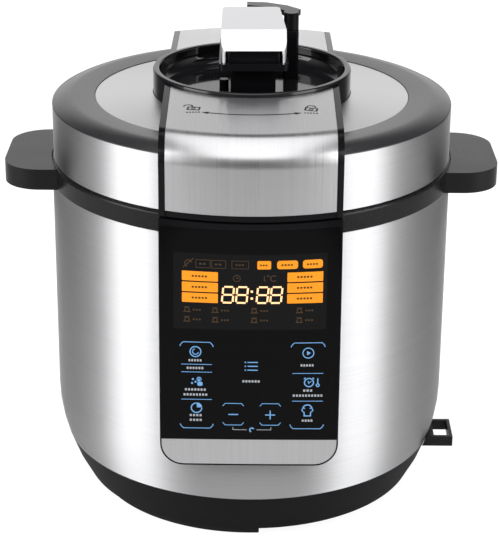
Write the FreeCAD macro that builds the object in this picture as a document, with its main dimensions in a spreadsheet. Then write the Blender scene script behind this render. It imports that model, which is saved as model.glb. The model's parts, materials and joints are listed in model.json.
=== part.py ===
"""Electric pressure cooker, built piece by piece as a parametric document.

Millimetres.  The origin is on the table, under the middle of the pot: X to the right, Y to the
back, Z up, with the control panel facing -Y.  The lid is closed and its lock is open.
"""
import FreeCAD
import Part
import Sketcher

import math
import os
import re

SIZES = {
    # overall form of the body
    "body_radius": 146.0, "shell_wall": 0.8, "seam_inset": 5.7, "tuck_height": 35.3,
    "foot_height": 8.0, "base_height": 31.7, "shell_height": 200.3, "collar_height": 14.3,
    "base_inset": 14.4, "base_wall": 2.5, "base_curve": 144.0, "base_lip": 5.0,
    "vent_count": 12, "vent_length": 28.0, "vent_width": 3.2, "vent_radius": 44.0,
    # feet
    "foot_count": 3, "foot_sweep": 60.0, "foot_turn": 213.75, "foot_width": 10.5, "foot_inset": 7.4,
    # collar with the two ear handles and the gutter round the pot
    "collar_proud": 1.0, "collar_wall": 2.5, "collar_round": 2.3, "collar_hook": 4.0,
    "gutter_gap": 15.0, "gutter_depth": 27.3, "gutter_bore_gap": 0.5,
    "ear_reach": 33.0, "ear_width": 96.0, "ear_corner": 27.0, "ear_drop": 1.0, "ear_wall": 3.5,
    # pots, heater and sensor
    "pot_radius": 110.0, "pot_wall": 1.5, "pot_floor": 2.5, "pot_depth": 156.0,
    "pot_flange": 6.0, "pot_flange_thickness": 2.0, "pot_corner": 14.0,
    "pot_clearance": 2.0, "outer_pot_wall": 3.0, "rim_drop": 13.8,
    "lug_count": 6, "lug_sweep": 24.0, "lug_reach": 7.5, "lug_height": 4.0,
    "plate_radius": 85.0, "plate_thickness": 12.0, "plate_leg": 7.0, "plate_leg_radius": 4.0,
    "sensor_radius": 15.0, "sensor_cap": 5.0, "sensor_stem": 5.0, "sensor_gap": 2.0,
    "bracket_depth": 10.0, "bracket_wall": 2.0, "spring_wire": 1.8, "sensor_spring_turns": 6,
    "post_radius": 5.0, "post_circle": 98.0,
    # lid cover
    "lid_inset": 1.0, "lid_gap": 0.7, "lid_height": 40.0, "lid_sheet": 0.8,
    "rim_width": 31.0, "rim_crest": 4.6, "rim_inner_drop": 0.8, "rim_ledge": 4.0,
    "plate_sheet": 1.0, "plate_dome": 2.2, "carrier_wall": 4.0, "carrier_deck": 3.0,
    "carrier_drop": 2.0, "fit_gap": 0.3,
    # dish in the top of the lid
    "dish_radius": 71.7, "dish_wall": 4.7, "dish_rise": 23.5, "dish_floor_rise": 9.0,
    "dish_floor": 2.5, "dish_corner": 9.0,
    # strap over the lid, front and rear
    "band_width": 122.8, "band_border": 4.4, "band_reach": 12.5, "band_bend": 20.0,
    "band_rise_dish": 21.0, "band_rise_middle": 19.0, "band_rise_edge": 16.45,
    "band_middle_radius": 100.0, "band_wall": 2.8, "band_sheet": 0.8, "band_foot": 0.5,
    "rear_band_foot": 1.8,
    # pressure lid, seal and lock
    "seal_gap": 0.3, "seal_height": 4.2, "seal_width": 7.0, "pressure_lid_radius": 126.0,
    "pressure_lid_thickness": 3.0, "pressure_lid_lip": 3.5, "pressure_lid_rim": 5.5,
    "lock_grip": 2.5, "lock_gap": 5.0, "lock_wall": 3.5, "hook_sweep": 22.0, "hook_height": 4.0,
    "hook_gap": 3.5, "lock_flange": 3.0, "lock_flange_gap": 1.0, "lock_flange_reach": 12.0,
    "spider_width": 10.0, "spider_height": 4.0, "spider_turn": 113.0, "hub_radius": 16.0,
    "hub_height": 8.0, "shaft_radius": 11.0, "shaft_gap": 0.5,
    "carrier_post_radius": 6.0, "carrier_post_circle": 80.0, "carrier_post_turn": 68.0,
    # handle
    "handle_turn": 1.8, "handle_front": 43.0, "handle_back": 30.0, "handle_top_front": 36.0,
    "handle_half_front": 23.0, "handle_half_back": 21.0, "handle_height": 51.0,
    "handle_cap_height": 23.0, "handle_nose": 8.0, "handle_corner": 4.0, "handle_wall": 3.0,
    "handle_lip": 5.0, "handle_lip_proud": 1.5, "pedestal_half": 16.0, "pedestal_inset": 9.0,
    "handle_lift": 0.6,
    # exhaust valve and float valve
    "valve_x": 28.5, "valve_y": 24.0, "valve_post_half": 5.5, "valve_post_depth": 15.0,
    "valve_post_height": 36.0, "vent_pipe_radius": 3.5, "vent_pipe_bore": 1.5,
    "vent_pipe_flange": 8.0, "vent_pipe_top": 16.0, "lever_height": 12.7, "lever_plate": 4.0,
    "shield_radius": 11.0, "shield_height": 9.0, "shield_wall": 1.2,
    "float_x": -20.0, "float_y": -11.0, "float_head": 3.4, "float_rod": 2.2, "float_rise": 8.0,
    "float_travel": 4.0, "float_seal_radius": 5.0, "float_seal_height": 2.0,
    # rear hinge
    "hinge_back": 151.0, "hinge_drop": 12.5, "hinge_pin": 2.5, "knuckle": 6.5, "arm_inner": 36.0,
    "arm_outer": 44.0, "ear_plate": 7.0, "ear_gap": 1.0, "ear_knuckle": 6.6, "hinge_plate": 2.5,
    "arm_rise": 35.0, "hinge_spring_radius": 3.2, "hinge_wire": 1.0, "hinge_spring_turns": 12,
    "hinge_spring_inner": 8.0, "hinge_spring_outer": 26.0,
    # control panel
    "panel_half": 61.5, "panel_face": 157.6, "panel_bottom": 36.3, "panel_corner": 16.5,
    "panel_wall": 2.5, "overlay_thickness": 1.2, "overlay_border": 1.0, "overlay_bottom": 21.0,
    "overlay_top": 4.3, "strip_gap": 1.0, "strip_thickness": 0.8,
    "panel_curve_top": 160.0, "panel_curve_display": 360.0, "panel_curve_bottom": 3000.0,
    "display_half": 52.0, "display_bottom": 178.0, "display_top": 234.0, "display_back": 149.5,
    "board_back": 142.5, "board_thickness": 1.6, "board_half": 48.0, "window_half": 50.0,
    "boss_radius": 3.0,
    # power inlet, spoon holder, condensate cup
    "inlet_z": 74.0, "inlet_half": 12.0, "inlet_half_height": 8.0, "inlet_wall": 1.5,
    "inlet_flange": 2.5, "inlet_depth": 18.0, "inlet_back": 124.0, "inlet_face": 148.0,
    "pin_length": 14.0,
    "spoon_y": -30.0, "spoon_length": 30.0, "spoon_reach": 18.0, "spoon_height": 8.0,
    "spoon_wall": 2.5, "spoon_drop": 5.0,
    "cup_half": 28.0, "cup_height": 41.0, "cup_z": 184.0, "cup_depth": 10.5, "cup_back": 157.6,
    "cup_wall": 1.6, "cup_notch": 14.0, "rail_wall": 2.6, "rail_depth": 4.5, "spout_z": 217.0,
    "spout_radius": 4.0, "spout_bore": 2.5, "spout_reach": 151.0,
    # power electronics on the base
    "power_board_x": -62.0, "power_board_y": -76.0, "power_board_length": 92.0,
    "power_board_width": 60.0, "power_board_lift": 11.5, "relay_length": 22.0,
    "relay_width": 16.0, "relay_height": 15.0, "transformer_length": 30.0,
    "transformer_width": 25.0, "transformer_height": 22.0, "terminal_length": 34.0,
    "terminal_width": 14.0, "terminal_height": 12.0, "fuse_radius": 3.0, "fuse_length": 22.0,
    "switch_length": 24.0, "switch_width": 14.0, "switch_height": 12.0,
}

document = FreeCAD.newDocument("PressureCooker")
sheet = document.addObject("Spreadsheet::Sheet", "Sizes")
for row, (alias, number) in enumerate(SIZES.items(), start=1):
    sheet.set(f"A{row}", alias)
    sheet.set(f"B{row}", str(number))
    sheet.setAlias(f"B{row}", alias)
document.recompute()

nodes = {}

# Heights and radii that several pieces share, as expressions on the sheet.
SEAM = "(foot_height + base_height)"
SEAM_RADIUS = "(body_radius - seam_inset)"
TUCK = f"({SEAM} + tuck_height)"
SHELL_TOP = f"({SEAM} + shell_height)"
BODY_TOP = f"({SHELL_TOP} + collar_height)"
COLLAR_RADIUS = "(body_radius + collar_proud)"
RIM = f"({BODY_TOP} - rim_drop)"
POT_BOTTOM = f"({RIM} + pot_flange_thickness - pot_depth - pot_floor)"
OUTER_POT_INNER = "(pot_radius + pot_wall + pot_clearance)"
OUTER_POT_RADIUS = f"({OUTER_POT_INNER} + outer_pot_wall)"
OUTER_POT_FLOOR = f"({POT_BOTTOM} - plate_thickness - plate_leg)"
OUTER_POT_BOTTOM = f"({OUTER_POT_FLOOR} - outer_pot_wall)"
LUG_RADIUS = f"({OUTER_POT_RADIUS} + lug_reach)"
LOCK_INNER = f"({LUG_RADIUS} + lock_gap)"
LOCK_OUTER = f"({LOCK_INNER} + lock_wall)"
HOOK_INNER = f"({LUG_RADIUS} - lock_grip)"
HOOK_TOP = f"({RIM} - lug_height - hook_gap)"
GUTTER_RADIUS = f"({LUG_RADIUS} + gutter_gap)"
GUTTER_FLOOR = f"({BODY_TOP} - gutter_depth)"
SEAL_BOTTOM = f"({RIM} + pot_flange_thickness + seal_gap)"
PRESSURE_LID_BOTTOM = f"({SEAL_BOTTOM} + seal_height)"
PRESSURE_LID_TOP = f"({PRESSURE_LID_BOTTOM} + pressure_lid_thickness)"
LOCK_TOP = f"({PRESSURE_LID_TOP} + lock_flange_gap + lock_flange)"
LID_RADIUS = "(body_radius - lid_inset)"
LID_BOTTOM = f"({BODY_TOP} + lid_gap)"
LID_EDGE = f"({LID_BOTTOM} + lid_height)"
CARRIER_TOP = f"({LID_EDGE} - carrier_drop)"
RIM_INNER = f"({LID_RADIUS} - rim_width)"
RIM_INNER_TOP = f"({LID_EDGE} + rim_crest - rim_inner_drop)"
PLATE_EDGE = f"({RIM_INNER_TOP} - rim_inner_drop / 2)"
DISH_TOP = f"({LID_EDGE} + dish_rise)"
DISH_FLOOR = f"({LID_EDGE} + dish_floor_rise)"
BAND_START = "(dish_radius + fit_gap)"
BAND_RADIUS = f"({LID_RADIUS} + band_reach)"
HINGE_Z = f"({BODY_TOP} - hinge_drop)"
PANEL_BOTTOM = f"({SEAM} + panel_bottom)"
PANEL_TOP = f"{BODY_TOP}"
BASE_FLOOR = "(foot_height + base_wall)"
HANDLE_BOTTOM = f"({DISH_FLOOR} + handle_lift)"
HANDLE_TOP = f"({DISH_FLOOR} + handle_height)"
CAP_BOTTOM = f"({HANDLE_TOP} - handle_cap_height)"
VALVE_POST_TOP = f"({DISH_FLOOR} + valve_post_height)"


def bound(expression):
    """Give the expression with each size written as its cell of the sheet."""
    return re.sub(r"[a-z]\w+", lambda word: f"Sizes.{word[0]}" if word[0] in SIZES else word[0],
                  str(expression))


def value(expression):
    """Give the number that the sheet makes of the expression."""
    return float(sheet.evalExpression(bound(expression)))


def node(name, piece):
    """Name a finished sub-part."""
    piece.Label = name
    nodes[name] = piece
    return piece


def place(piece, x=0, y=0, z=0, turn=None):
    """Bind a piece's place, and its turn about the vertical, to the sheet."""
    for axis, expression in zip("xyz", (x, y, z)):
        piece.setExpression(f"Placement.Base.{axis}", bound(expression))
    if turn is not None:
        piece.setExpression("Placement.Rotation.Angle", bound(turn))
    return piece


def cylinder(radius, height, x=0, y=0, z=0, along="z", sweep=360, turn=None):
    """Make a round bar, or a sector of one, from its lower, left or front end."""
    bar = document.addObject("Part::Cylinder", "Bar")
    bar.setExpression("Radius", bound(radius))
    bar.setExpression("Height", bound(height))
    bar.setExpression("Angle", bound(sweep))
    if along == "x":
        bar.Placement.Rotation = FreeCAD.Rotation(FreeCAD.Vector(0, 1, 0), 90)
    if along == "y":
        bar.Placement.Rotation = FreeCAD.Rotation(FreeCAD.Vector(1, 0, 0), -90)
    return place(bar, x, y, z, turn)


def box(x0, x1, y0, y1, z0, z1, turn=None):
    """Make a block between two limits on each axis, turned about the vertical through 0."""
    block = document.addObject("Part::Box", "Block")
    block.setExpression("Length", bound(f"({x1}) - ({x0})"))
    block.setExpression("Width", bound(f"({y1}) - ({y0})"))
    block.setExpression("Height", bound(f"({z1}) - ({z0})"))
    place(block, x0, y0, z0)
    if turn is None:
        return block
    holder = document.addObject("Part::Compound", "Turned")
    holder.Links = [block]
    return place(holder, turn=turn)


def cut(base, *tools):
    """Take the tools out of the base."""
    for tool in tools:
        result = document.addObject("Part::Cut", "Cut")
        result.Base = base
        result.Tool = tool
        base = result
    return base


def fuse(*pieces):
    """Join pieces into one."""
    result = document.addObject("Part::MultiFuse", "Fusion")
    result.Shapes = list(pieces)
    return result


def common(*pieces):
    """Keep what the pieces share."""
    result = document.addObject("Part::MultiCommon", "Common")
    result.Shapes = list(pieces)
    return result


def tube(outer, inner, height, x=0, y=0, z=0, along="z"):
    """Make a round tube."""
    bar = cylinder(outer, height, x, y, z, along)
    return cut(bar, cylinder(inner, height, x, y, z, along))


def sector(outer, inner, z, height, start, sweep):
    """Make a stretch of ring between two radii and two directions."""
    wedge = cylinder(outer, height, z=z, sweep=sweep, turn=start)
    return cut(wedge, cylinder(inner, height, z=z))


def arc_through(start, end, radius):
    """Give the arc of a radius from one point to the next; a positive one turns left."""
    chord = end - start
    half = chord.Length / 2
    left = FreeCAD.Vector(-chord.y, chord.x, 0).normalize()
    rise = math.copysign(math.sqrt(max(radius * radius - half * half, 0.0)), radius)
    centre = (start + end) / 2 + left * rise
    first, last = (start, end) if radius > 0 else (end, start)
    angles = [math.atan2(point.y - centre.y, point.x - centre.x) for point in (first, last)]
    circle = Part.Circle(centre, FreeCAD.Vector(0, 0, 1), abs(radius))
    return Part.ArcOfCircle(circle, angles[0], angles[1])


def draw(sketch, outline):
    """Draw a closed outline of (x, y) or (x, y, radius of the arc to the next point)."""
    points = [FreeCAD.Vector(value(point[0]), value(point[1]), 0) for point in outline]
    arcs = [len(point) > 2 for point in outline]
    count = len(outline)
    for index, point in enumerate(outline):
        start, end = points[index], points[(index + 1) % count]
        if arcs[index]:
            sketch.addGeometry(arc_through(start, end, value(point[2])))
        else:
            sketch.addGeometry(Part.LineSegment(start, end))
    ends = [arc_ends(sketch.Geometry[index], points[index]) for index in range(count)]
    for index in range(count):
        following = (index + 1) % count
        sketch.addConstraint(Sketcher.Constraint("Coincident", index, ends[index][1],
                                                 following, ends[following][0]))
    for index, point in enumerate(outline):
        for kind, number, expression in (("X", points[index].x, point[0]),
                                         ("Y", points[index].y, point[1])):
            name = f"{kind.lower()}{index}"
            sketch.addConstraint(Sketcher.Constraint(f"Distance{kind}", -1, 1, index,
                                                     ends[index][0], number))
            sketch.renameConstraint(sketch.ConstraintCount - 1, name)
            sketch.setExpression(f"Constraints.{name}", bound(expression))
        if arcs[index]:
            number = abs(value(point[2]))
            sketch.addConstraint(Sketcher.Constraint("Radius", index, number))
            sketch.renameConstraint(sketch.ConstraintCount - 1, f"bend{index}")
            sketch.setExpression(f"Constraints.bend{index}", bound(f"abs({point[2]})"))


def arc_ends(edge, start):
    """Give the sketch's numbers of an edge's first and last point, in drawing order."""
    return (1, 2) if edge.StartPoint.distanceToPoint(start) < 1e-6 else (2, 1)


def sketch_in(body, role, outline, offset=0):
    """Draw an outline on one of a body's own planes, moved along that plane's normal."""
    sketch = body.newObject("Sketcher::SketchObject", "Outline")
    plane = next(item for item in body.Origin.OriginFeatures if item.Role == role)
    sketch.AttachmentSupport = [(plane, "")]
    sketch.MapMode = "FlatFace"
    sketch.setExpression("AttachmentOffset.Base.z", bound(offset))
    draw(sketch, outline)
    return sketch


def revolved(outline, sweep=360):
    """Turn an outline of (radius, height) points about the vertical."""
    body = document.addObject("PartDesign::Body", "Turned")
    sketch = sketch_in(body, "XZ_Plane", outline)
    turning = body.newObject("PartDesign::Revolution", "Revolution")
    turning.Profile = sketch
    turning.ReferenceAxis = (sketch, ["V_Axis"])
    turning.setExpression("Angle", bound(sweep))
    return body


def padded(role, outline, length, offset=0, both_ways=False):
    """Give an outline a thickness along its plane's normal."""
    body = document.addObject("PartDesign::Body", "Padded")
    sketch = sketch_in(body, role, outline, offset)
    pad = body.newObject("PartDesign::Pad", "Pad")
    pad.Profile = sketch
    pad.setExpression("Length", bound(length))
    if both_ways:
        pad.SideType = "Symmetric"
    return body


def rounded(x0, x1, y0, y1, lower, upper=None):
    """Outline a rectangle with its lower, and perhaps its upper, corners rounded."""
    points = [(f"({x0}) + ({lower})", y0), (f"({x1}) - ({lower})", y0, lower),
              (x1, f"({y0}) + ({lower})")]
    if upper is None:
        points += [(x1, y1), (x0, y1)]
    else:
        points += [(x1, f"({y1}) - ({upper})", upper), (f"({x1}) - ({upper})", y1),
                   (f"({x0}) + ({upper})", y1, upper), (x0, f"({y1}) - ({upper})")]
    return points + [(x0, f"({y0}) + ({lower})", lower)]


def solid_feature(name, shape):
    """Put a shape made with Part's own functions into the document."""
    feature = document.addObject("Part::Feature", name)
    feature.Shape = shape
    return feature


def helix_spring(mean_radius, wire, height, turns):
    """Make a coil spring of round wire that stands on its end."""
    pitch = height / turns
    path = Part.makeHelix(pitch, height, mean_radius)
    along = FreeCAD.Vector(0, 2 * math.pi * mean_radius, pitch)
    profile = Part.Wire([Part.makeCircle(wire / 2, FreeCAD.Vector(mean_radius, 0, 0), along)])
    return Part.Wire(path).makePipeShell([profile], True, True)


# ---------------------------------------------------------------- body of the cooker

def outer_shell():
    """Brushed steel wrapper, tucked in above the base, with its openings."""
    bend = "((tuck_height^2 + seam_inset^2) / (2 * seam_inset))"
    inner = "(body_radius - shell_wall)"
    wrapper = revolved([
        ("body_radius", TUCK), ("body_radius", SHELL_TOP), (inner, SHELL_TOP),
        (inner, TUCK, f"-({bend} - shell_wall)"), (f"{SEAM_RADIUS} - shell_wall", SEAM),
        (SEAM_RADIUS, SEAM, bend)])
    window = box("-window_half", "window_half", "-body_radius - 5", "-pot_radius",
                 f"{PANEL_BOTTOM} + overlay_bottom", f"{PANEL_TOP} - overlay_bottom")
    inlet = box("-inlet_half - inlet_wall - fit_gap", "inlet_half + inlet_wall + fit_gap",
                "pot_radius", "body_radius + 5",
                "inlet_z - inlet_half_height - inlet_wall - fit_gap",
                "inlet_z + inlet_half_height + inlet_wall + fit_gap")
    drain = cylinder("spout_radius + fit_gap", "40", y="pot_radius", z="spout_z", along="y")
    node("outer_shell", cut(wrapper, window, inlet, drain))


def base_shell():
    """Black moulded bowl under the wrapper, with cooling slots and board bosses."""
    outer = f"({SEAM_RADIUS} - base_inset)"
    lip_outer = f"({SEAM_RADIUS} - shell_wall - fit_gap)"
    lip_inner = f"({lip_outer} - base_wall)"
    bowl = revolved([
        (0, "foot_height"), (outer, "foot_height", "base_curve"), (SEAM_RADIUS, SEAM),
        (lip_outer, SEAM), (lip_outer, f"{SEAM} + base_lip"), (lip_inner, f"{SEAM} + base_lip"),
        (lip_inner, SEAM, "-(base_curve - base_wall)"), (f"{outer} - base_wall", BASE_FLOOR),
        (0, BASE_FLOOR)])
    slots = [box("vent_radius", "vent_radius + vent_length", "-vent_width / 2", "vent_width / 2",
                 "foot_height - 1", f"{BASE_FLOOR} + 1", turn=f"{index} * 360 / vent_count")
             for index in range(int(value("vent_count")))]
    bosses = [cylinder("boss_radius", "power_board_lift", x, y, BASE_FLOOR)
              for x, y in board_corners()]
    node("base_shell", fuse(cut(bowl, *slots), *bosses))


def board_corners():
    """Give the places of the power board's four bosses."""
    inset = "2 * boss_radius"
    left = f"power_board_x + {inset}"
    right = f"power_board_x + power_board_length - {inset}"
    front = f"power_board_y + {inset}"
    back = f"power_board_y + power_board_width - {inset}"
    return [(left, front), (right, front), (right, back), (left, back)]


def feet():
    """Three long rubber feet on the underside."""
    outer = f"{SEAM_RADIUS} - base_inset - foot_inset"
    for index in range(int(value("foot_count"))):
        start = f"foot_turn + {index} * 360 / foot_count"
        foot = sector(outer, f"{outer} - foot_width", 0, "foot_height", start, "foot_sweep")
        node(f"foot_{index + 1}", foot)


def upper_collar():
    """Black ring that caps the wrapper, with its gutter and the two ear handles."""
    gutter_outer = f"({GUTTER_RADIUS} + collar_wall)"
    hook = "(body_radius - shell_wall - fit_gap)"
    ring = revolved([
        (COLLAR_RADIUS, SHELL_TOP), (COLLAR_RADIUS, f"{BODY_TOP} - collar_round", "collar_round"),
        (f"{COLLAR_RADIUS} - collar_round", BODY_TOP), (GUTTER_RADIUS, BODY_TOP),
        (GUTTER_RADIUS, GUTTER_FLOOR), (f"{OUTER_POT_RADIUS} + gutter_bore_gap", GUTTER_FLOOR),
        (f"{OUTER_POT_RADIUS} + gutter_bore_gap", f"{GUTTER_FLOOR} - collar_wall"),
        (gutter_outer, f"{GUTTER_FLOOR} - collar_wall"),
        (gutter_outer, f"{BODY_TOP} - collar_wall"),
        (f"{hook} - collar_wall", f"{BODY_TOP} - collar_wall"),
        (f"{hook} - collar_wall", f"{SHELL_TOP} - collar_hook"),
        (hook, f"{SHELL_TOP} - collar_hook"), (hook, SHELL_TOP)])
    tip = "(body_radius + ear_reach)"
    bottom = f"({SHELL_TOP} - ear_drop)"
    ears = padded("XY_Plane", rounded(f"-{tip}", tip, "-ear_width / 2", "ear_width / 2",
                                      "ear_corner", "ear_corner"),
                  f"{BODY_TOP} - ({bottom})", bottom)
    hollow = padded("XY_Plane", rounded(f"-{tip} + ear_wall", f"{tip} - ear_wall",
                                        "-ear_width / 2 + ear_wall", "ear_width / 2 - ear_wall",
                                        "ear_corner - ear_wall", "ear_corner - ear_wall"),
                    f"{BODY_TOP} - ear_wall - ({bottom})", bottom)
    inside = cylinder(f"{COLLAR_RADIUS} - 0.5", "100", z=f"{bottom} - 10")
    wall = cylinder(f"{COLLAR_RADIUS} + ear_wall", "100", z=f"{bottom} - 10")
    drain = cylinder("spout_bore", "collar_wall + 2", y=f"{GUTTER_RADIUS} - spout_radius * 2",
                     z=f"{GUTTER_FLOOR} - collar_wall - 1")
    handles = cut(ears, inside, cut(hollow, wall))
    node("upper_collar", cut(fuse(ring, handles), drain))


def outer_pot():
    """Pressed pot that carries the heater, with the six locking lugs round its mouth."""
    wall = revolved([
        (0, OUTER_POT_BOTTOM), (OUTER_POT_RADIUS, OUTER_POT_BOTTOM), (OUTER_POT_RADIUS, RIM),
        (OUTER_POT_INNER, RIM), (OUTER_POT_INNER, OUTER_POT_FLOOR), (0, OUTER_POT_FLOOR)])
    step = "360 / lug_count"
    lugs = [sector(LUG_RADIUS, f"{OUTER_POT_RADIUS} - 0.5", f"{RIM} - lug_height", "lug_height",
                   f"{index} * {step} - lug_sweep / 2", "lug_sweep")
            for index in range(int(value("lug_count")))]
    hole = cylinder("sensor_radius + sensor_gap", "60", z=f"{OUTER_POT_BOTTOM} - 20")
    node("outer_pot", cut(fuse(wall, *lugs), hole))


def inner_pot():
    """Removable cooking pot with a rolled flange."""
    outside = "(pot_radius + pot_wall)"
    floor = f"({POT_BOTTOM} + pot_floor)"
    top = f"({RIM} + pot_flange_thickness)"
    node("inner_pot", revolved([
        (0, POT_BOTTOM), (f"{outside} - pot_corner", POT_BOTTOM, "pot_corner"),
        (outside, f"{POT_BOTTOM} + pot_corner"), (outside, RIM), (f"{outside} + pot_flange", RIM),
        (f"{outside} + pot_flange", top), ("pot_radius", top),
        ("pot_radius", f"{floor} + pot_corner - pot_wall", "-(pot_corner - pot_wall)"),
        ("pot_radius - pot_corner + pot_wall", floor), (0, floor)]))


def heater():
    """Cast heating plate on three legs, and the sprung temperature sensor in its middle."""
    bore = "sensor_radius + sensor_gap"
    disc = tube("plate_radius", bore, "plate_thickness", z=f"{POT_BOTTOM} - plate_thickness")
    legs = [cylinder("plate_leg_radius", "plate_leg + 0.5",
                     f"(plate_radius - 15) * cos({angle})", f"(plate_radius - 15) * sin({angle})",
                     OUTER_POT_FLOOR) for angle in (30, 150, 270)]
    node("heating_plate", fuse(disc, *legs))
    cap = cylinder("sensor_radius", "sensor_cap", z=f"{POT_BOTTOM} - sensor_cap")
    seat = f"({OUTER_POT_BOTTOM} - bracket_depth + bracket_wall)"
    stem = cylinder("sensor_stem", f"{POT_BOTTOM} - sensor_cap - {seat} + 0.5", z=seat)
    node("temperature_sensor", fuse(cap, stem))
    outer = "sensor_radius + sensor_gap + bracket_wall"
    bracket = cylinder(outer, "bracket_depth", z=f"{OUTER_POT_BOTTOM} - bracket_depth")
    node("sensor_bracket", cut(bracket, cylinder(bore, "bracket_depth", z=seat)))
    wire = value("spring_wire")
    height = value(f"{POT_BOTTOM} - sensor_cap - {seat}") - wire
    coil = helix_spring(value("sensor_stem") + wire, wire, height, value("sensor_spring_turns"))
    spring = solid_feature("Spring", coil)
    spring.Placement.Base.z = value(seat) + wire / 2
    node("sensor_spring", spring)


def pot_posts():
    """Three posts that carry the outer pot over the base."""
    for index, angle in enumerate((90, 210, 330), start=1):
        node(f"pot_post_{index}", cylinder(
            "post_radius", f"{OUTER_POT_BOTTOM} - {BASE_FLOOR}", f"post_circle * cos({angle})",
            f"post_circle * sin({angle})", BASE_FLOOR))


def electronics():
    """Power board with its larger components, and the switches on the outer pot."""
    board_z = f"({BASE_FLOOR} + power_board_lift)"
    top = f"({board_z} + board_thickness)"
    left, front = "power_board_x", "power_board_y"
    node("power_board", box(left, f"{left} + power_board_length", front,
                            f"{front} + power_board_width", board_z, top))
    node("relay", box(f"{left} + 8", f"{left} + 8 + relay_length", f"{front} + 34",
                      f"{front} + 34 + relay_width", top, f"{top} + relay_height"))
    node("transformer", box(f"{left} + 52", f"{left} + 52 + transformer_length", f"{front} + 26",
                            f"{front} + 26 + transformer_width", top,
                            f"{top} + transformer_height"))
    node("terminal_block", box(f"{left} + 14", f"{left} + 14 + terminal_length", f"{front} + 8",
                               f"{front} + 8 + terminal_width", top, f"{top} + terminal_height"))
    node("thermal_fuse", cylinder("fuse_radius", "fuse_length",
                                  f"-({OUTER_POT_RADIUS} + fuse_radius + fit_gap)", 0,
                                  f"{OUTER_POT_FLOOR} + fuse_length"))
    node("pressure_switch", box("plate_radius / 2", "plate_radius / 2 + switch_length",
                                "plate_radius / 2", "plate_radius / 2 + switch_width",
                                f"{OUTER_POT_BOTTOM} - switch_height", OUTER_POT_BOTTOM))


# ---------------------------------------------------------------- control panel

def panel_form(inset):
    """Block behind the panel's face, whose plan curve flattens from the top to the bottom."""
    half = value("panel_half") + 4
    back = -value("pot_radius")
    face = -value("panel_face") + inset
    levels = ((value(PANEL_BOTTOM) - 5, "panel_curve_bottom"),
              (value(f"{PANEL_BOTTOM} + overlay_bottom"), "panel_curve_bottom"),
              ((value("display_bottom") + value("display_top")) / 2, "panel_curve_display"),
              (value(PANEL_TOP) + 4, "panel_curve_top"))
    sections = []
    for height, curve in levels:
        radius = value(curve)
        sag = radius - math.sqrt(radius * radius - half * half)
        left = FreeCAD.Vector(-half, face + sag, height)
        right = FreeCAD.Vector(half, face + sag, height)
        front = Part.Arc(left, FreeCAD.Vector(0, face, height), right).toShape()
        corners = [right, FreeCAD.Vector(half, back, height),
                   FreeCAD.Vector(-half, back, height), left]
        sides = [Part.makeLine(first, second) for first, second in zip(corners, corners[1:])]
        sections.append(Part.Wire([front] + sides))
    return solid_feature("PanelForm", Part.makeLoft(sections, True, False))


def panel_prism(half, bottom, top, corner):
    """Prism seen from the front, with rounded lower corners, to trim the panel pieces."""
    return padded("XZ_Plane", rounded(f"-({half})", half, bottom, top, corner),
                  "2 * (panel_face + 5)", both_ways=True)


def control_panel():
    """Panel housing, its overlay and steel strip, and the display and board behind them."""
    overlay_bottom = f"({PANEL_BOTTOM} + overlay_bottom)"
    overlay_top = f"({PANEL_TOP} - overlay_top)"
    overlay_half = "(panel_half - overlay_border)"
    strip_bottom = f"({PANEL_BOTTOM} + strip_gap)"
    strip_top = f"({overlay_bottom} - strip_gap)"
    thickness = value("overlay_thickness")
    strip_thickness = value("strip_thickness")
    whole = common(panel_form(0), panel_prism("panel_half", PANEL_BOTTOM, PANEL_TOP,
                                              "panel_corner"))
    overlay_skin = cut(panel_form(0), panel_form(thickness))
    overlay_shape = panel_prism(overlay_half, overlay_bottom, overlay_top, "2")
    node("panel_overlay", common(overlay_skin, overlay_shape))
    strip_skin = cut(panel_form(0), panel_form(strip_thickness))
    strip_shape = panel_prism(overlay_half, strip_bottom, strip_top,
                              "panel_corner - overlay_border")
    node("panel_strip", common(strip_skin, strip_shape))
    hollow = common(panel_form(value("overlay_thickness + panel_wall")),
                    panel_prism("panel_half - panel_wall", f"{PANEL_BOTTOM} + panel_wall",
                                f"{PANEL_TOP} - panel_wall", "panel_corner - panel_wall"))
    display_hole = box("-display_half", "display_half", "-panel_face - 5", "-pot_radius",
                       "display_bottom", "display_top")
    body = cylinder("body_radius + fit_gap / 3", "400")
    collar = cylinder(f"{COLLAR_RADIUS} + fit_gap / 3", "100", z=f"{SHELL_TOP} - fit_gap")
    shell = cut(whole, nodes["panel_overlay"], nodes["panel_strip"], hollow, display_hole, body,
                collar)
    boss_front = "(panel_face - overlay_thickness - panel_wall - 0.3)"
    bosses = [cylinder("boss_radius", f"{boss_front} - board_back", x, f"-{boss_front}", z,
                       along="y")
              for x in ("-board_half + 4", "board_half - 4")
              for z in (f"{overlay_bottom} + 6", "display_bottom - 8")]
    node("panel_housing", fuse(shell, *bosses))
    node("display_module", box("-display_half + 2", "display_half - 2", "-display_back",
                               "-board_back", "display_bottom + 2", "display_top - 2"))
    node("control_board", box("-board_half", "board_half", "-board_back",
                              "-board_back + board_thickness", f"{overlay_bottom} + 1",
                              f"{GUTTER_FLOOR} - collar_wall - board_thickness"))


# ---------------------------------------------------------------- fittings on the body

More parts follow.
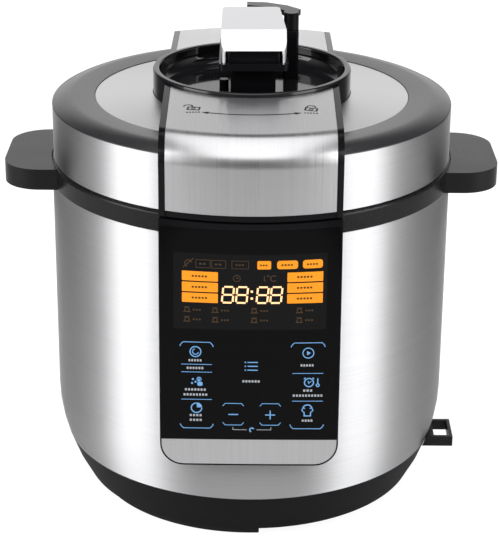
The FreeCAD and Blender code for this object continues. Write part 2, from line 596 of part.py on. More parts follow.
def power_inlet():
    """Three-pin appliance inlet in the back of the wrapper."""
    half = "(inlet_half + inlet_wall)"
    half_height = "(inlet_half_height + inlet_wall)"
    barrel = box(f"-{half}", half, "inlet_back", "inlet_face", f"inlet_z - {half_height}",
                 f"inlet_z + {half_height}")
    flange = box(f"-{half} - inlet_flange", f"{half} + inlet_flange", "body_radius - 10",
                 "inlet_face", f"inlet_z - {half_height} - inlet_flange",
                 f"inlet_z + {half_height} + inlet_flange")
    bezel = cut(flange, cylinder("body_radius + fit_gap / 3", "400"))
    recess = box("-inlet_half", "inlet_half", "inlet_face - inlet_depth", "inlet_face + 1",
                 "inlet_z - inlet_half_height", "inlet_z + inlet_half_height")
    node("power_inlet", cut(fuse(barrel, bezel), recess))
    root = "(inlet_face - inlet_depth)"
    blades = [box(f"{x} - 1", f"{x} + 1", root, f"{root} + pin_length",
                  f"inlet_z + ({z}) - 2", f"inlet_z + ({z}) + 2")
              for x, z in ((-7, -1.5), (0, 2.5), (7, -1.5))]
    node("inlet_pins", fuse(*blades))


def spoon_holder():
    """Flat loop on the right-hand side that takes the rice spoon."""
    top = f"({SEAM} + spoon_height - spoon_drop)"
    bottom = f"({SEAM} - spoon_drop)"
    outer = f"({SEAM_RADIUS} + spoon_reach - 4)"
    low, high = "(spoon_y - spoon_length / 2)", "(spoon_y + spoon_length / 2)"
    block = box(f"{SEAM_RADIUS} - 12", outer, low, high, bottom, top)
    slot = box(SEAM_RADIUS, f"{outer} - spoon_wall", f"{low} + spoon_wall", f"{high} - spoon_wall",
               f"{bottom} - 1", f"{top} + 1")
    bend = "((tuck_height^2 + seam_inset^2) / (2 * seam_inset))"
    clear = "fit_gap / 3"
    body = revolved([
        (0, "foot_height"), (f"{SEAM_RADIUS} - base_inset + {clear}", "foot_height", "base_curve"),
        (f"{SEAM_RADIUS} + {clear}", SEAM, bend), (f"body_radius + {clear}", TUCK), (0, TUCK)])
    node("spoon_holder", cut(block, slot, body))


def condensate_cup():
    """Clear cup that catches water from the gutter, its bracket, and the spout over it."""
    front = "(cup_back - cup_depth)"
    top = "(cup_z + cup_height)"
    outer = box("-cup_half", "cup_half", front, "cup_back", "cup_z", top)
    inner = box("-cup_half + cup_wall", "cup_half - cup_wall", f"{front} + cup_wall",
                "cup_back - cup_wall", "cup_z + cup_wall", f"{top} + 1")
    notch = box("-cup_half + cup_wall", "cup_half - cup_wall", f"{front} - 1",
                f"{front} + cup_wall + 1", f"{top} - cup_notch", f"{top} + 1")
    node("condensate_cup", cut(outer, inner, notch))
    half = "(cup_half + fit_gap)"
    bracket = box(f"-{half} - rail_wall", f"{half} + rail_wall", "body_radius - 10",
                  f"{front} + rail_depth", "cup_z - rail_wall - fit_gap", top)
    space = box(f"-{half}", half, "body_radius - 20", "cup_back", "cup_z - fit_gap", f"{top} + 1")
    node("cup_bracket", cut(bracket, space, cylinder("body_radius + fit_gap / 3", "400")))
    drop_y = f"({GUTTER_RADIUS} - spout_radius * 2)"
    drop_low = "(spout_z - spout_radius - 1)"
    drop = cylinder("spout_radius + 1", f"{GUTTER_FLOOR} - collar_wall - {drop_low}", y=drop_y,
                    z=drop_low)
    run = cylinder("spout_radius", f"spout_reach - {drop_y}", y=drop_y, z="spout_z", along="y")
    drop_bore = cylinder("spout_bore", f"{GUTTER_FLOOR} - spout_z", y=drop_y, z="spout_z - 1")
    run_bore = cylinder("spout_bore - 0.2", f"spout_reach - {drop_y} + 1", y=drop_y, z="spout_z",
                        along="y")
    node("drain_spout", cut(fuse(drop, run), drop_bore, run_bore))


def hinge_body_side():
    """Hinge block on the back of the collar, the pin through it, and the opening springs."""
    low = f"({HINGE_Z} - knuckle - ear_gap)"
    inner = f"({COLLAR_RADIUS} + fit_gap / 3)"
    height = f"ear_knuckle * 2 + ear_gap"
    spread = "(arm_outer + ear_gap + ear_plate)"
    plate = common(tube(f"{inner} + hinge_plate", inner, height, z=f"{low} - hinge_plate"),
                   box(f"-{spread}", spread, "0", "hinge_back", "0", "400"))
    slots = [box(f"{side} * (arm_inner + arm_outer) / 2 - (arm_outer - arm_inner) / 2 - ear_gap",
                 f"{side} * (arm_inner + arm_outer) / 2 + (arm_outer - arm_inner) / 2 + ear_gap",
                 "0", "hinge_back + 20", low, "400") for side in (-1, 1)]
    slots += [box(left, f"{left} + hinge_spring_outer - hinge_spring_inner + 2 * ear_gap", "0",
                  "hinge_back + 20", low, "400")
              for left in ("hinge_spring_inner - ear_gap", "-hinge_spring_outer - ear_gap")]
    ears = []
    for side in (-1, 1):
        for near in ("(arm_inner - ear_gap - ear_plate)", "(arm_outer + ear_gap)"):
            left = near if side == 1 else f"(-{near} - ear_plate)"
            web = box(left, f"{left} + ear_plate", "body_radius - 30", "hinge_back",
                      f"{HINGE_Z} - ear_knuckle", f"{HINGE_Z} + ear_knuckle")
            knuckle = cylinder("ear_knuckle", "ear_plate", left, "hinge_back", HINGE_Z, along="x")
            ears.append(cut(fuse(web, knuckle), cylinder(inner, "400")))
    bore = cylinder("hinge_pin + 0.05", f"4 * {spread}", f"-2 * {spread}", "hinge_back", HINGE_Z,
                    along="x")
    node("hinge_block", cut(fuse(cut(plate, *slots), *ears), bore))
    length = f"({spread} + 1.5)"
    node("hinge_pin", cylinder("hinge_pin", f"2 * {length}", f"-{length}", "hinge_back", HINGE_Z,
                               along="x"))
    wire = value("hinge_wire")
    start = value("hinge_spring_inner")
    height = value("hinge_spring_outer") - start
    coils = []
    for side in (-1, 1):
        coil = helix_spring(value("hinge_spring_radius"), wire, height,
                            value("hinge_spring_turns"))
        coil.rotate(FreeCAD.Vector(0, 0, 0), FreeCAD.Vector(0, 1, 0), 90 * side)
        coil.translate(FreeCAD.Vector(side * start, value("hinge_back"), value(HINGE_Z)))
        coils.append(coil)
    node("hinge_springs", solid_feature("Springs", Part.makeCompound(coils)))


# ---------------------------------------------------------------- lid

def lid_envelope():
    """Everything under the lid's outer surfaces, a fit gap proud of them, as a cutting form."""
    edge = f"({LID_RADIUS} + fit_gap / 2)"
    crest = f"({LID_EDGE} + rim_crest + fit_gap / 2)"
    crest_radius = f"({LID_RADIUS} - rim_width / 2)"
    return revolved([
        (0, 0), (edge, 0), (edge, f"{LID_EDGE} + fit_gap / 2", "rim_width"),
        (crest_radius, crest), (RIM_INNER, f"{RIM_INNER_TOP} + fit_gap / 2"),
        ("dish_radius", f"{PLATE_EDGE} + plate_dome + fit_gap / 2"),
        (0, f"{PLATE_EDGE} + plate_dome + fit_gap / 2")])


def lid_cover():
    """Steel skirt, dark rim and brushed plate of the lid."""
    inner = f"({LID_RADIUS} - lid_sheet)"
    top = f"({LID_EDGE} - lid_sheet)"
    node("lid_skirt", revolved([
        (inner, LID_BOTTOM), (LID_RADIUS, LID_BOTTOM), (LID_RADIUS, top), (inner, top)]))
    crest_radius = f"({LID_RADIUS} - rim_width / 2)"
    ledge = f"({RIM_INNER} - rim_ledge)"
    node("lid_rim", revolved([
        (ledge, CARRIER_TOP), (f"{inner} - fit_gap", CARRIER_TOP), (f"{inner} - fit_gap", top),
        (LID_RADIUS, top), (LID_RADIUS, LID_EDGE, "rim_width"),
        (crest_radius, f"{LID_EDGE} + rim_crest"), (RIM_INNER, RIM_INNER_TOP),
        (RIM_INNER, f"{PLATE_EDGE} - plate_sheet"), (ledge, f"{PLATE_EDGE} - plate_sheet")]))
    hole = "(dish_radius + fit_gap)"
    edge = f"({RIM_INNER} - fit_gap)"
    node("lid_plate", revolved([
        (edge, PLATE_EDGE), (hole, f"{PLATE_EDGE} + plate_dome"),
        (hole, f"{PLATE_EDGE} + plate_dome - plate_sheet"), (edge, f"{PLATE_EDGE} - plate_sheet")]))


def lid_carrier():
    """Inner moulding that everything in the lid is screwed to."""
    outer = f"({LID_RADIUS} - lid_sheet - fit_gap)"
    inner = f"({outer} - carrier_wall)"
    deck = f"({CARRIER_TOP} - carrier_deck)"
    bore = "(shaft_radius + shaft_gap)"
    drum = revolved([
        (bore, deck), (inner, deck), (inner, LID_BOTTOM), (outer, LID_BOTTOM),
        (outer, CARRIER_TOP), (bore, CARRIER_TOP)])
    posts = [cylinder("carrier_post_radius", f"{deck} - {PRESSURE_LID_TOP} + 0.5",
                      f"carrier_post_circle * cos(carrier_post_turn + {angle})",
                      f"carrier_post_circle * sin(carrier_post_turn + {angle})",
                      PRESSURE_LID_TOP) for angle in (0, 120, 240)]
    pipe = cylinder("vent_pipe_radius + fit_gap", "carrier_deck + 2", "valve_x", "valve_y",
                    f"{deck} - 1")
    rod = cylinder("float_head + fit_gap", "carrier_deck + 2", "float_x", "float_y",
                   f"{deck} - 1")
    node("lid_carrier", cut(fuse(drum, *posts), pipe, rod))


def dish():
    """Glossy round well in the top of the lid, where the handle turns."""
    wall = "(dish_radius - dish_wall)"
    floor_radius = f"({wall} - dish_corner)"
    foot = "(dish_radius - dish_floor)"
    bowl = revolved([
        ("shaft_radius + shaft_gap", f"{DISH_FLOOR} - dish_floor"),
        (foot, f"{DISH_FLOOR} - dish_floor"), (foot, CARRIER_TOP), ("dish_radius", CARRIER_TOP),
        ("dish_radius", DISH_TOP), (wall, DISH_TOP),
        (wall, f"{DISH_FLOOR} + dish_corner", "-dish_corner"), (floor_radius, DISH_FLOOR),
        ("shaft_radius + shaft_gap", DISH_FLOOR)])
    pipe = cylinder("vent_pipe_radius + fit_gap", "20", "valve_x", "valve_y", f"{DISH_FLOOR} - 10")
    rod = cylinder("float_head + fit_gap", "20", "float_x", "float_y", f"{DISH_FLOOR} - 10")
    node("dish", cut(bowl, pipe, rod))


def band_form(inset, foot):
    """Turned form of the strap, moved inwards by an inset, down to its foot."""
    centre = f"({BAND_RADIUS} - band_bend)"
    height = f"({LID_EDGE} + band_rise_edge - band_bend)"
    bend = f"(band_bend - ({inset}))"
    lean = "3.8"
    return revolved([
        (BAND_START, foot), (f"{BAND_RADIUS} - ({inset})", foot),
        (f"{BAND_RADIUS} - ({inset})", height, bend),
        (f"{centre} + {bend} * sin({lean})", f"{height} + {bend} * cos({lean})"),
        ("band_middle_radius", f"{LID_EDGE} + band_rise_middle - ({inset})"),
        (BAND_START, f"{LID_EDGE} + band_rise_dish - ({inset})")])


def band(name, side, foot, open_foot):
    """Strap over the lid on one side: a black moulding with a steel sheet let into it."""
    near, far = ("-400", "0") if side == "front" else ("0", "400")

    def strip(half):
        return box(f"-({half})", half, near, far, 0, 400)

    half = "(band_width / 2)"
    sheet_half = f"({half} - band_border)"
    whole = common(band_form("0", foot), strip(half))
    skin = common(cut(band_form("0", foot), band_form("band_sheet", f"{foot} - 1")),
                  strip(sheet_half))
    low = f"{foot} - 1" if open_foot else f"{foot} + band_wall"
    hollow = common(band_form("band_sheet + band_wall", low), strip(f"{half} - band_wall"),
                    cut(cylinder("400", "400"), cylinder(f"{BAND_START} + band_wall", "400")))
    sheet_recess = common(cut(band_form("-1", f"{foot} - 1"), band_form("band_sheet", f"{foot} - 2")),
                          strip(f"{sheet_half} + fit_gap / 2"))
    node(f"{name}_frame", cut(whole, lid_envelope(), hollow, sheet_recess))
    node(f"{name}_sheet", skin)


def pressure_lid():
    """Inner lid that holds the pressure, its silicone seal, and the exhaust pipe with its shield."""
    lip_inner = "(pressure_lid_radius - pressure_lid_rim)"
    lip_bottom = f"({PRESSURE_LID_BOTTOM} - pressure_lid_lip)"
    disc = revolved([
        (0, PRESSURE_LID_BOTTOM), (lip_inner, PRESSURE_LID_BOTTOM), (lip_inner, lip_bottom),
        ("pressure_lid_radius", lip_bottom), ("pressure_lid_radius", PRESSURE_LID_TOP),
        (0, PRESSURE_LID_TOP)])
    pipe_hole = cylinder("vent_pipe_radius + 0.05", "40", "valve_x", "valve_y",
                         f"{PRESSURE_LID_BOTTOM} - 20")
    rod_hole = cylinder("float_rod + fit_gap", "40", "float_x", "float_y",
                        f"{PRESSURE_LID_BOTTOM} - 20")
    node("pressure_lid", cut(disc, pipe_hole, rod_hole))
    seal_outer = f"({lip_inner} - fit_gap)"
    node("sealing_ring", tube(seal_outer, f"{seal_outer} - seal_width", "seal_height",
                              z=SEAL_BOTTOM))
    top = f"({DISH_FLOOR} + vent_pipe_top)"
    pipe = cylinder("vent_pipe_radius", f"{top} - {SEAL_BOTTOM}", "valve_x", "valve_y",
                    SEAL_BOTTOM)
    flange = cylinder("vent_pipe_flange", "lock_flange", "valve_x", "valve_y", PRESSURE_LID_TOP)
    bore = cylinder("vent_pipe_bore", "200", "valve_x", "valve_y", f"{SEAL_BOTTOM} - 10")
    node("vent_pipe", cut(fuse(pipe, flange), bore))
    shield_low = f"({PRESSURE_LID_BOTTOM} - shield_height)"
    shield = cylinder("shield_radius", "shield_height", "valve_x", "valve_y", shield_low)
    space = cylinder("shield_radius - shield_wall", "shield_height", "valve_x", "valve_y",
                     f"{shield_low} + shield_wall")
    slots = [box(f"valve_x - shield_radius * {abs(dx)} - 1", f"valve_x + shield_radius * {abs(dx)} + 1",
                 f"valve_y - shield_radius * {abs(dy)} - 1", f"valve_y + shield_radius * {abs(dy)} + 1",
                 f"{shield_low} + 2 * shield_wall", f"{PRESSURE_LID_BOTTOM} - 2 * shield_wall")
             for dx, dy in ((1, 0), (0, 1))]
    node("vent_shield", cut(shield, space, *slots))


def hinge_arms():
    """Two steel arms that carry the lid on the hinge pin."""
    top = f"({HINGE_Z} + arm_rise + lid_height / 2)"
    shoulder = f"({LID_BOTTOM} + band_wall)"
    front = "(hinge_back - knuckle)"
    strap_inside = f"({BAND_RADIUS} - band_sheet - band_wall - fit_gap)"
    back = f"sqrt({strap_inside}^2 - arm_outer^2)"
    outline = [
        (f"{front} - 14", shoulder), (front, shoulder), (front, HINGE_Z),
        ("hinge_back + knuckle - 2", HINGE_Z), ("hinge_back + knuckle - 2", f"{HINGE_Z} + knuckle"),
        (back, f"{LID_BOTTOM} + rear_band_foot - 1"), (back, top), (f"{front} - 14", top)]
    for name, left in (("hinge_arm_left", "-arm_outer"), ("hinge_arm_right", "arm_inner")):
        web = padded("YZ_Plane", outline, "arm_outer - arm_inner", left)
        knuckle = cylinder("knuckle", "arm_outer - arm_inner", left, "hinge_back", HINGE_Z,
                           along="x")
        bore = cylinder("hinge_pin + fit_gap", "arm_outer - arm_inner", left, "hinge_back",
                        HINGE_Z, along="x")
        node(name, cut(fuse(web, knuckle), lid_envelope(), bore))


# ---------------------------------------------------------------- lock, handle and valves

def lock():
    """Lock ring with six hooks, the spider that turns it, and the shaft up to the handle."""
    bottom = f"({HOOK_TOP} - hook_height)"
    flange_bottom = f"({LOCK_TOP} - lock_flange)"
    ring = revolved([
        (LOCK_INNER, bottom), (LOCK_OUTER, bottom), (LOCK_OUTER, LOCK_TOP),
        (f"{LOCK_INNER} - lock_flange_reach", LOCK_TOP),
        (f"{LOCK_INNER} - lock_flange_reach", flange_bottom), (LOCK_INNER, flange_bottom)])
    step = "360 / lug_count"
    hooks = [sector(f"{LOCK_INNER} + 0.5", HOOK_INNER, bottom, "hook_height",
                    f"({index} + 0.5) * {step} - hook_sweep / 2", "hook_sweep")
             for index in range(int(value("lug_count")))]
    node("lock_ring", fuse(ring, *hooks))
    arms = [box(0, f"{LOCK_INNER}", "-spider_width / 2", "spider_width / 2", LOCK_TOP,
                f"{LOCK_TOP} + spider_height", turn=f"spider_turn + {angle}")
            for angle in (0, 120, 240)]
    hub = cylinder("hub_radius", "hub_height", z=LOCK_TOP)
    node("drive_spider", fuse(hub, *arms))
    shaft_bottom = f"({LOCK_TOP} + hub_height)"
    node("drive_shaft", cylinder("shaft_radius", f"{HANDLE_BOTTOM} - {shaft_bottom}",
                                 z=shaft_bottom))


def handle_plan(grow):
    """Outline the handle from above, wider at the front, moved out by a margin."""
    front, back = f"(handle_front + ({grow}))", f"(handle_back + ({grow}))"
    wide, narrow = f"(handle_half_front + ({grow}))", f"(handle_half_back + ({grow}))"
    corner = "handle_corner"
    return [
        (f"-{wide} + {corner}", f"-{front}"), (f"{wide} - {corner}", f"-{front}", corner),
        (wide, f"-{front} + {corner}"), (narrow, f"{back} - {corner}", corner),
        (f"{narrow} - {corner}", back), (f"-{narrow} + {corner}", back, corner),
        (f"-{narrow}", f"{back} - {corner}"), (f"-{wide}", f"-{front} + {corner}", corner)]


def handle():
    """Chromed cap over the black core that stands on the shaft."""
    def side_view(inset, front_end, back_end, low):
        """Outline the cap from the side, moved in by an inset, between its two open ends."""
        nose = f"({CAP_BOTTOM} + handle_nose + ({inset}) / 3)"
        top = f"({HANDLE_TOP} - ({inset}))"
        slope_foot = [] if front_end == inset else [(f"-handle_front + ({inset})", nose)]
        return [
            (f"-handle_front + ({front_end})", low), (f"handle_back - ({back_end})", low),
            (f"handle_back - ({back_end})", top), (f"-handle_top_front + ({inset}) / 2", top),
            *slope_foot, (f"-handle_front + ({front_end})", nose)]

    lip_bottom = f"({CAP_BOTTOM} - handle_lip)"
    plan = padded("XY_Plane", handle_plan("0"), "handle_cap_height", CAP_BOTTOM)
    view = padded("YZ_Plane", side_view("0", "0", "0", CAP_BOTTOM), "100", both_ways=True)
    inner_view = padded("YZ_Plane", side_view("handle_wall", "-5", "-5", f"{CAP_BOTTOM} - 1"), "100",
                        both_ways=True)
    wide, narrow = "(handle_half_front - handle_wall)", "(handle_half_back - handle_wall)"
    inner_plan = padded("XY_Plane", [
        (f"-{wide}", "-handle_front - 6"), (wide, "-handle_front - 6"), (wide, "-handle_front"),
        (narrow, "handle_back"), (narrow, "handle_back + 6"), (f"-{narrow}", "handle_back + 6"),
        (f"-{narrow}", "handle_back"), (f"-{wide}", "-handle_front")],
        "handle_cap_height + 1", f"{CAP_BOTTOM} - 1")
    tunnel = common(inner_view, inner_plan)
    node("handle_cap", place(cut(common(plan, view), tunnel), turn="handle_turn"))
    grip_plan = padded("XY_Plane", handle_plan("-handle_wall - fit_gap"),
                       "handle_cap_height", CAP_BOTTOM)
    grip_view = padded("YZ_Plane", side_view("handle_wall + fit_gap / 3", "1", "1", CAP_BOTTOM),
                       "100", both_ways=True)
    grip = common(grip_plan, grip_view)
    lip = padded("XY_Plane", handle_plan("handle_lip_proud"), "handle_lip", lip_bottom)
    foot = padded("XY_Plane", rounded("-pedestal_half", "pedestal_half",
                                      "-handle_front + pedestal_inset",
                                      "handle_back - pedestal_inset / 4", "handle_corner",
                                      "handle_corner"),
                  f"{lip_bottom} - {HANDLE_BOTTOM}", HANDLE_BOTTOM)
    node("handle_core", place(fuse(foot, lip, grip), turn="handle_turn"))


def release_valve():
    """Exhaust valve: a fixed post round the pipe and the lever that turns on it."""
    front = "(valve_y - valve_post_depth / 2)"
    post = padded("XY_Plane", rounded("valve_x - valve_post_half", "valve_x + valve_post_half",
                                      front, f"{front} + valve_post_depth", "2", "2"),
                  "valve_post_height", DISH_FLOOR)
    bore = cylinder("vent_pipe_radius + fit_gap", "valve_post_height - 4", "valve_x", "valve_y",
                    DISH_FLOOR)
    node("valve_post", cut(post, bore))
    low = f"({VALVE_POST_TOP} + fit_gap)"
    hub = cylinder("valve_post_half", "lever_height", "valve_x", "valve_y", low)
    plate = padded("XY_Plane", [
        ("valve_x - 4", "valve_y + 2"), ("valve_x + 4", "valve_y - 1"),
        ("valve_x + 7", "valve_y + 8"), ("valve_x - 3", "valve_y + 20"),
        ("valve_x - 18.5", "valve_y + 29"), ("valve_x - 32.5", "valve_y + 30"),
        ("valve_x - 32.5", "valve_y + 19.5"), ("valve_x - 22.5", "valve_y + 16.5"),
        ("valve_x - 10", "valve_y + 11.5")],
        "lever_plate", f"{low} + lever_height - lever_plate")
    node("release_lever", fuse(hub, plate))


def float_valve():
    """Float pin that rises with the pressure, and its silicone seal."""
    seal_bottom = f"({PRESSURE_LID_BOTTOM} - float_travel - fit_gap - float_seal_height)"
    rod = cylinder("float_rod", f"{DISH_FLOOR} - {seal_bottom}", "float_x", "float_y",
                   seal_bottom)
    head = cylinder("float_head", "float_rise + dish_floor * 2", "float_x", "float_y",
                    f"{DISH_FLOOR} - dish_floor * 2")
    node("float_pin", fuse(rod, head))
    ring = tube("float_seal_radius", "float_rod", "float_seal_height", "float_x", "float_y",
                seal_bottom)
    node("float_seal", ring)


def write_parts():
    """Check every object and sub-part, then write each sub-part's file."""
    document.recompute()
    failed = [item.Label for item in document.Objects
              if "Invalid" in item.State or "Error" in item.State]
    if failed:
        raise RuntimeError(f"failed objects: {failed}")
    for name, piece in nodes.items():
        if piece.Shape.isNull() or not piece.Shape.isValid() or not piece.Shape.Solids:
            raise RuntimeError(f"bad shape: {name}")
    os.makedirs("parts", exist_ok=True)
    for name, piece in nodes.items():
        piece.Shape.exportStep(f"parts/{name}.step")
        print(f"{name}: {len(piece.Shape.Solids)} solid(s), {piece.Shape.Volume / 1000:.2f} cm3")


outer_shell()
base_shell()
feet()
upper_collar()
outer_pot()
inner_pot()
heater()
pot_posts()
electronics()
control_panel()
power_inlet()
spoon_holder()
condensate_cup()
hinge_body_side()
lid_cover()
lid_carrier()
dish()
band("front_band", "front", f"({LID_BOTTOM} + band_foot)", False)
band("rear_band", "rear", f"({LID_BOTTOM} + rear_band_foot)", True)
pressure_lid()
hinge_arms()
lock()
handle()
release_valve()
float_valve()
write_parts()
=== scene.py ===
"""Electric pressure cooker: the finished look of every piece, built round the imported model.

Sizes are in millimetres on the part's own axes and become metres as a mesh is made.  X is to the
right, Y to the back, Z up, and the control panel faces -Y.
"""
import json
import logging
import math
from dataclasses import dataclass, field
from enum import Enum
from typing import Any, Callable, Iterable, Sequence

import bpy
from mathutils import Matrix, Vector
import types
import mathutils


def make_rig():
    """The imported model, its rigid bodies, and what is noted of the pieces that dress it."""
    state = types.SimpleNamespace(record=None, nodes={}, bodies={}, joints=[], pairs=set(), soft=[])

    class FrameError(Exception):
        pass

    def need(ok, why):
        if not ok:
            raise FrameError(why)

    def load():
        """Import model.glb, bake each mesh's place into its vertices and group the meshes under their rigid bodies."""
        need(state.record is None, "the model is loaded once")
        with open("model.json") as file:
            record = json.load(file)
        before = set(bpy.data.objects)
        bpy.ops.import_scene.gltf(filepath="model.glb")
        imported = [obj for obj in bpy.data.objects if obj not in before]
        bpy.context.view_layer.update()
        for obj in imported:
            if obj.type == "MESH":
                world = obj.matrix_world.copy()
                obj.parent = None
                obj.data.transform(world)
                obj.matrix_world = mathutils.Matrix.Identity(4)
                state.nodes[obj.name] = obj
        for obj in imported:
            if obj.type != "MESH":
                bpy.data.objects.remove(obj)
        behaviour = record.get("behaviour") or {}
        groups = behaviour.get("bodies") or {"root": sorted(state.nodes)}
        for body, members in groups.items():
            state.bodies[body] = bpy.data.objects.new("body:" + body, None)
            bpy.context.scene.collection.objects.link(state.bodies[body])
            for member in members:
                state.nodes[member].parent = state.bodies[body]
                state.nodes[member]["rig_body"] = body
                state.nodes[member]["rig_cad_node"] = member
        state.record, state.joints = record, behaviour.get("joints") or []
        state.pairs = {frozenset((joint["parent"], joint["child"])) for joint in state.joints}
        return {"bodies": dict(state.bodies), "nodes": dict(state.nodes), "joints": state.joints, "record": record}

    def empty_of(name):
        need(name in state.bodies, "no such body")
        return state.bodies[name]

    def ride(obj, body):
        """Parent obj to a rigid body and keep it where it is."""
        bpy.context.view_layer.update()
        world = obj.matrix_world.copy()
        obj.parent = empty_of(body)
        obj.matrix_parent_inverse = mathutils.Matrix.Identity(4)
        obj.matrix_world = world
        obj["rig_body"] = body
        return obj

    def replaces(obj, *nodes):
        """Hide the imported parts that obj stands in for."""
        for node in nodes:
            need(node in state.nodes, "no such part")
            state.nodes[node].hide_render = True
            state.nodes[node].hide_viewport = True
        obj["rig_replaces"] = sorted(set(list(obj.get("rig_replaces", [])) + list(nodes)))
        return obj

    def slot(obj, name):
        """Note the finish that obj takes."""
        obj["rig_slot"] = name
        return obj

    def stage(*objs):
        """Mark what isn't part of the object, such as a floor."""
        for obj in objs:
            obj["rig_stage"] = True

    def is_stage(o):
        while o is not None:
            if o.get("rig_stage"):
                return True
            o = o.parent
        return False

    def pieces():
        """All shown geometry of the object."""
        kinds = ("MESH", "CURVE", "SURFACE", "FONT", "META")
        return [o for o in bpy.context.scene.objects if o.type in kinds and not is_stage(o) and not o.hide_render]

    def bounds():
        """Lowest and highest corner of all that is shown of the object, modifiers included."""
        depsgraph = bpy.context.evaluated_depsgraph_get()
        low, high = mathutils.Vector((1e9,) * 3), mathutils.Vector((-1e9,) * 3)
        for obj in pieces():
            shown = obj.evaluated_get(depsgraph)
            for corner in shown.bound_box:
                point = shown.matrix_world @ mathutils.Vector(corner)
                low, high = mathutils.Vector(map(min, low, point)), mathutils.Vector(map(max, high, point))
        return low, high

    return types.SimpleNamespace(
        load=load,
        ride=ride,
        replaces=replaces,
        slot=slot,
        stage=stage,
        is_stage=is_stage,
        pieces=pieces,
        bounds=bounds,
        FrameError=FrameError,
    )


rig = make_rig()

logging.basicConfig(level=logging.INFO, format="%(message)s")
log = logging.getLogger("cooker")

MM = 0.001
WELD = 0.000002     # points nearer than this, in metres, become one
FRONT = -157.5      # the foremost line of the panel's glass
GLASS_FOOT = 97.0   # where the glass starts, and the height over which its bow grows
BOW_RISE = 161.3
WIDE = 180.0        # a lamp's beam that isn't narrowed
Outline = Sequence[tuple[float, ...]]
Colour = tuple[float, float, float]


# ---------------------------------------------------------------- finishes

class Value:
    """A shader value that takes part in sums; each sum adds its Math node."""

    def __init__(self, graph: "Graph", socket: Any) -> None:
        """Wrap a socket of a graph.

        Args:
            graph: the graph that the sums go into.
            socket: the output socket that gives the value.
        """
        self.graph = graph
        self.socket = socket

    def _sum(self, operation: str, first: Any, second: Any) -> "Value":
        """Add a Math node and give its result."""
        math_node = self.graph.node("ShaderNodeMath", {"operation": operation},
                                    {0: first, 1: second})
        return Value(self.graph, math_node.outputs[0])

    def __add__(self, other: Any) -> "Value":
        """Give self + other."""
        return self._sum("ADD", self, other)

    __radd__ = __add__

    def __mul__(self, other: Any) -> "Value":
        """Give self * other."""
        return self._sum("MULTIPLY", self, other)

    __rmul__ = __mul__

    def __pow__(self, other: Any) -> "Value":
        """Give self to the power of other."""
        return self._sum("POWER", self, other)

    def above(self, limit: float) -> "Value":
        """Give 1 where the value is above the limit and 0 elsewhere."""
        return self._sum("GREATER_THAN", self, limit)


class Graph:
    """The nodes of one material, or of the world."""

    def __init__(self, owner: bpy.types.Material | bpy.types.World) -> None:
        """Start with an empty node tree.

        Args:
            owner: what the nodes belong to.
        """
        self.owner = owner
        owner.use_nodes = True
        self.tree = owner.node_tree
        self.tree.nodes.clear()

    def node(self, kind: str, settings: dict[str, Any] | None = None,
             sockets: dict[Any, Any] | None = None) -> Any:
        """Add a node.

        Args:
            kind: the node's type.
            settings: its own settings, set first; "stops" are a ramp's (place, colour) pairs.
            sockets: a number, a colour, a socket or a Value for each named or numbered input.

        Returns:
            The node.
        """
        made = self.tree.nodes.new(kind)
        for key, setting in (settings or {}).items():
            if key == "stops":
                ramp = made.color_ramp
                while len(ramp.elements) < len(setting):
                    ramp.elements.new(0.5)
                for element, (position, colour) in zip(ramp.elements, setting):
                    element.position = position
                    element.color = (*colour, 1.0)
            else:
                setattr(made, key, setting)
        for key, source in (sockets or {}).items():
            source = source.socket if isinstance(source, Value) else source
            if isinstance(source, bpy.types.NodeSocket):
                self.tree.links.new(source, made.inputs[key])
            else:
                made.inputs[key].default_value = source
        return made

    def place(self) -> Any:
        """Give the socket of the object's own coordinates."""
        return self.node("ShaderNodeTexCoord").outputs["Object"]

    def noise(self, stretch: Sequence[float], detail: float = 3.0, coarse: float = 0.55) -> Value:
        """Give a noise from 0 to 1.

        Args:
            stretch: how many cells there are in a metre along X, Y and Z.
            detail: how many finer layers are added.
            coarse: how strong the finer layers are.

        Returns:
            The noise.
        """
        mapped = self.node("ShaderNodeMapping", None,
                           {"Vector": self.place(), "Scale": tuple(stretch)})
        made = self.node("ShaderNodeTexNoise", None,
                         {"Vector": mapped.outputs[0], "Scale": 1.0, "Detail": detail,
                          "Roughness": coarse})
        return Value(self, made.outputs[0])

    def mix(self, share: Any, low: Colour, high: Colour) -> Any:
        """Give a colour between two.

        Args:
            share: how much of the second colour there is, from 0 to 1.
            low: the first colour.
            high: the second colour.

        Returns:
            The socket of the colour.
        """
        made = self.node("ShaderNodeMix", {"data_type": "RGBA"},
                         {0: share, 6: (*low, 1.0), 7: (*high, 1.0)})
        return made.outputs[2]

    def bump(self, height: Value, depth: float, strength: float = 0.5) -> Any:
        """Give a normal that follows a height.

        Args:
            height: the height, from 0 to 1.
            depth: how deep 1 is, in metres.
            strength: how much of it shows.

        Returns:
            The socket of the normal.
        """
        made = self.node("ShaderNodeBump", None,
                         {"Strength": strength, "Distance": depth, "Height": height})
        return made.outputs[0]

    def close(self, sockets: dict[str, Any]) -> bpy.types.Material:
        """Add the surface shader and give the material."""
        shader = self.node("ShaderNodeBsdfPrincipled", None, sockets)
        self.node("ShaderNodeOutputMaterial", None, {"Surface": shader.outputs[0]})
        return self.owner


def scaled(colour: Colour, factor: float) -> Colour:
    """Give a colour made lighter or darker."""
    return tuple(min(1.0, part * factor) for part in colour)


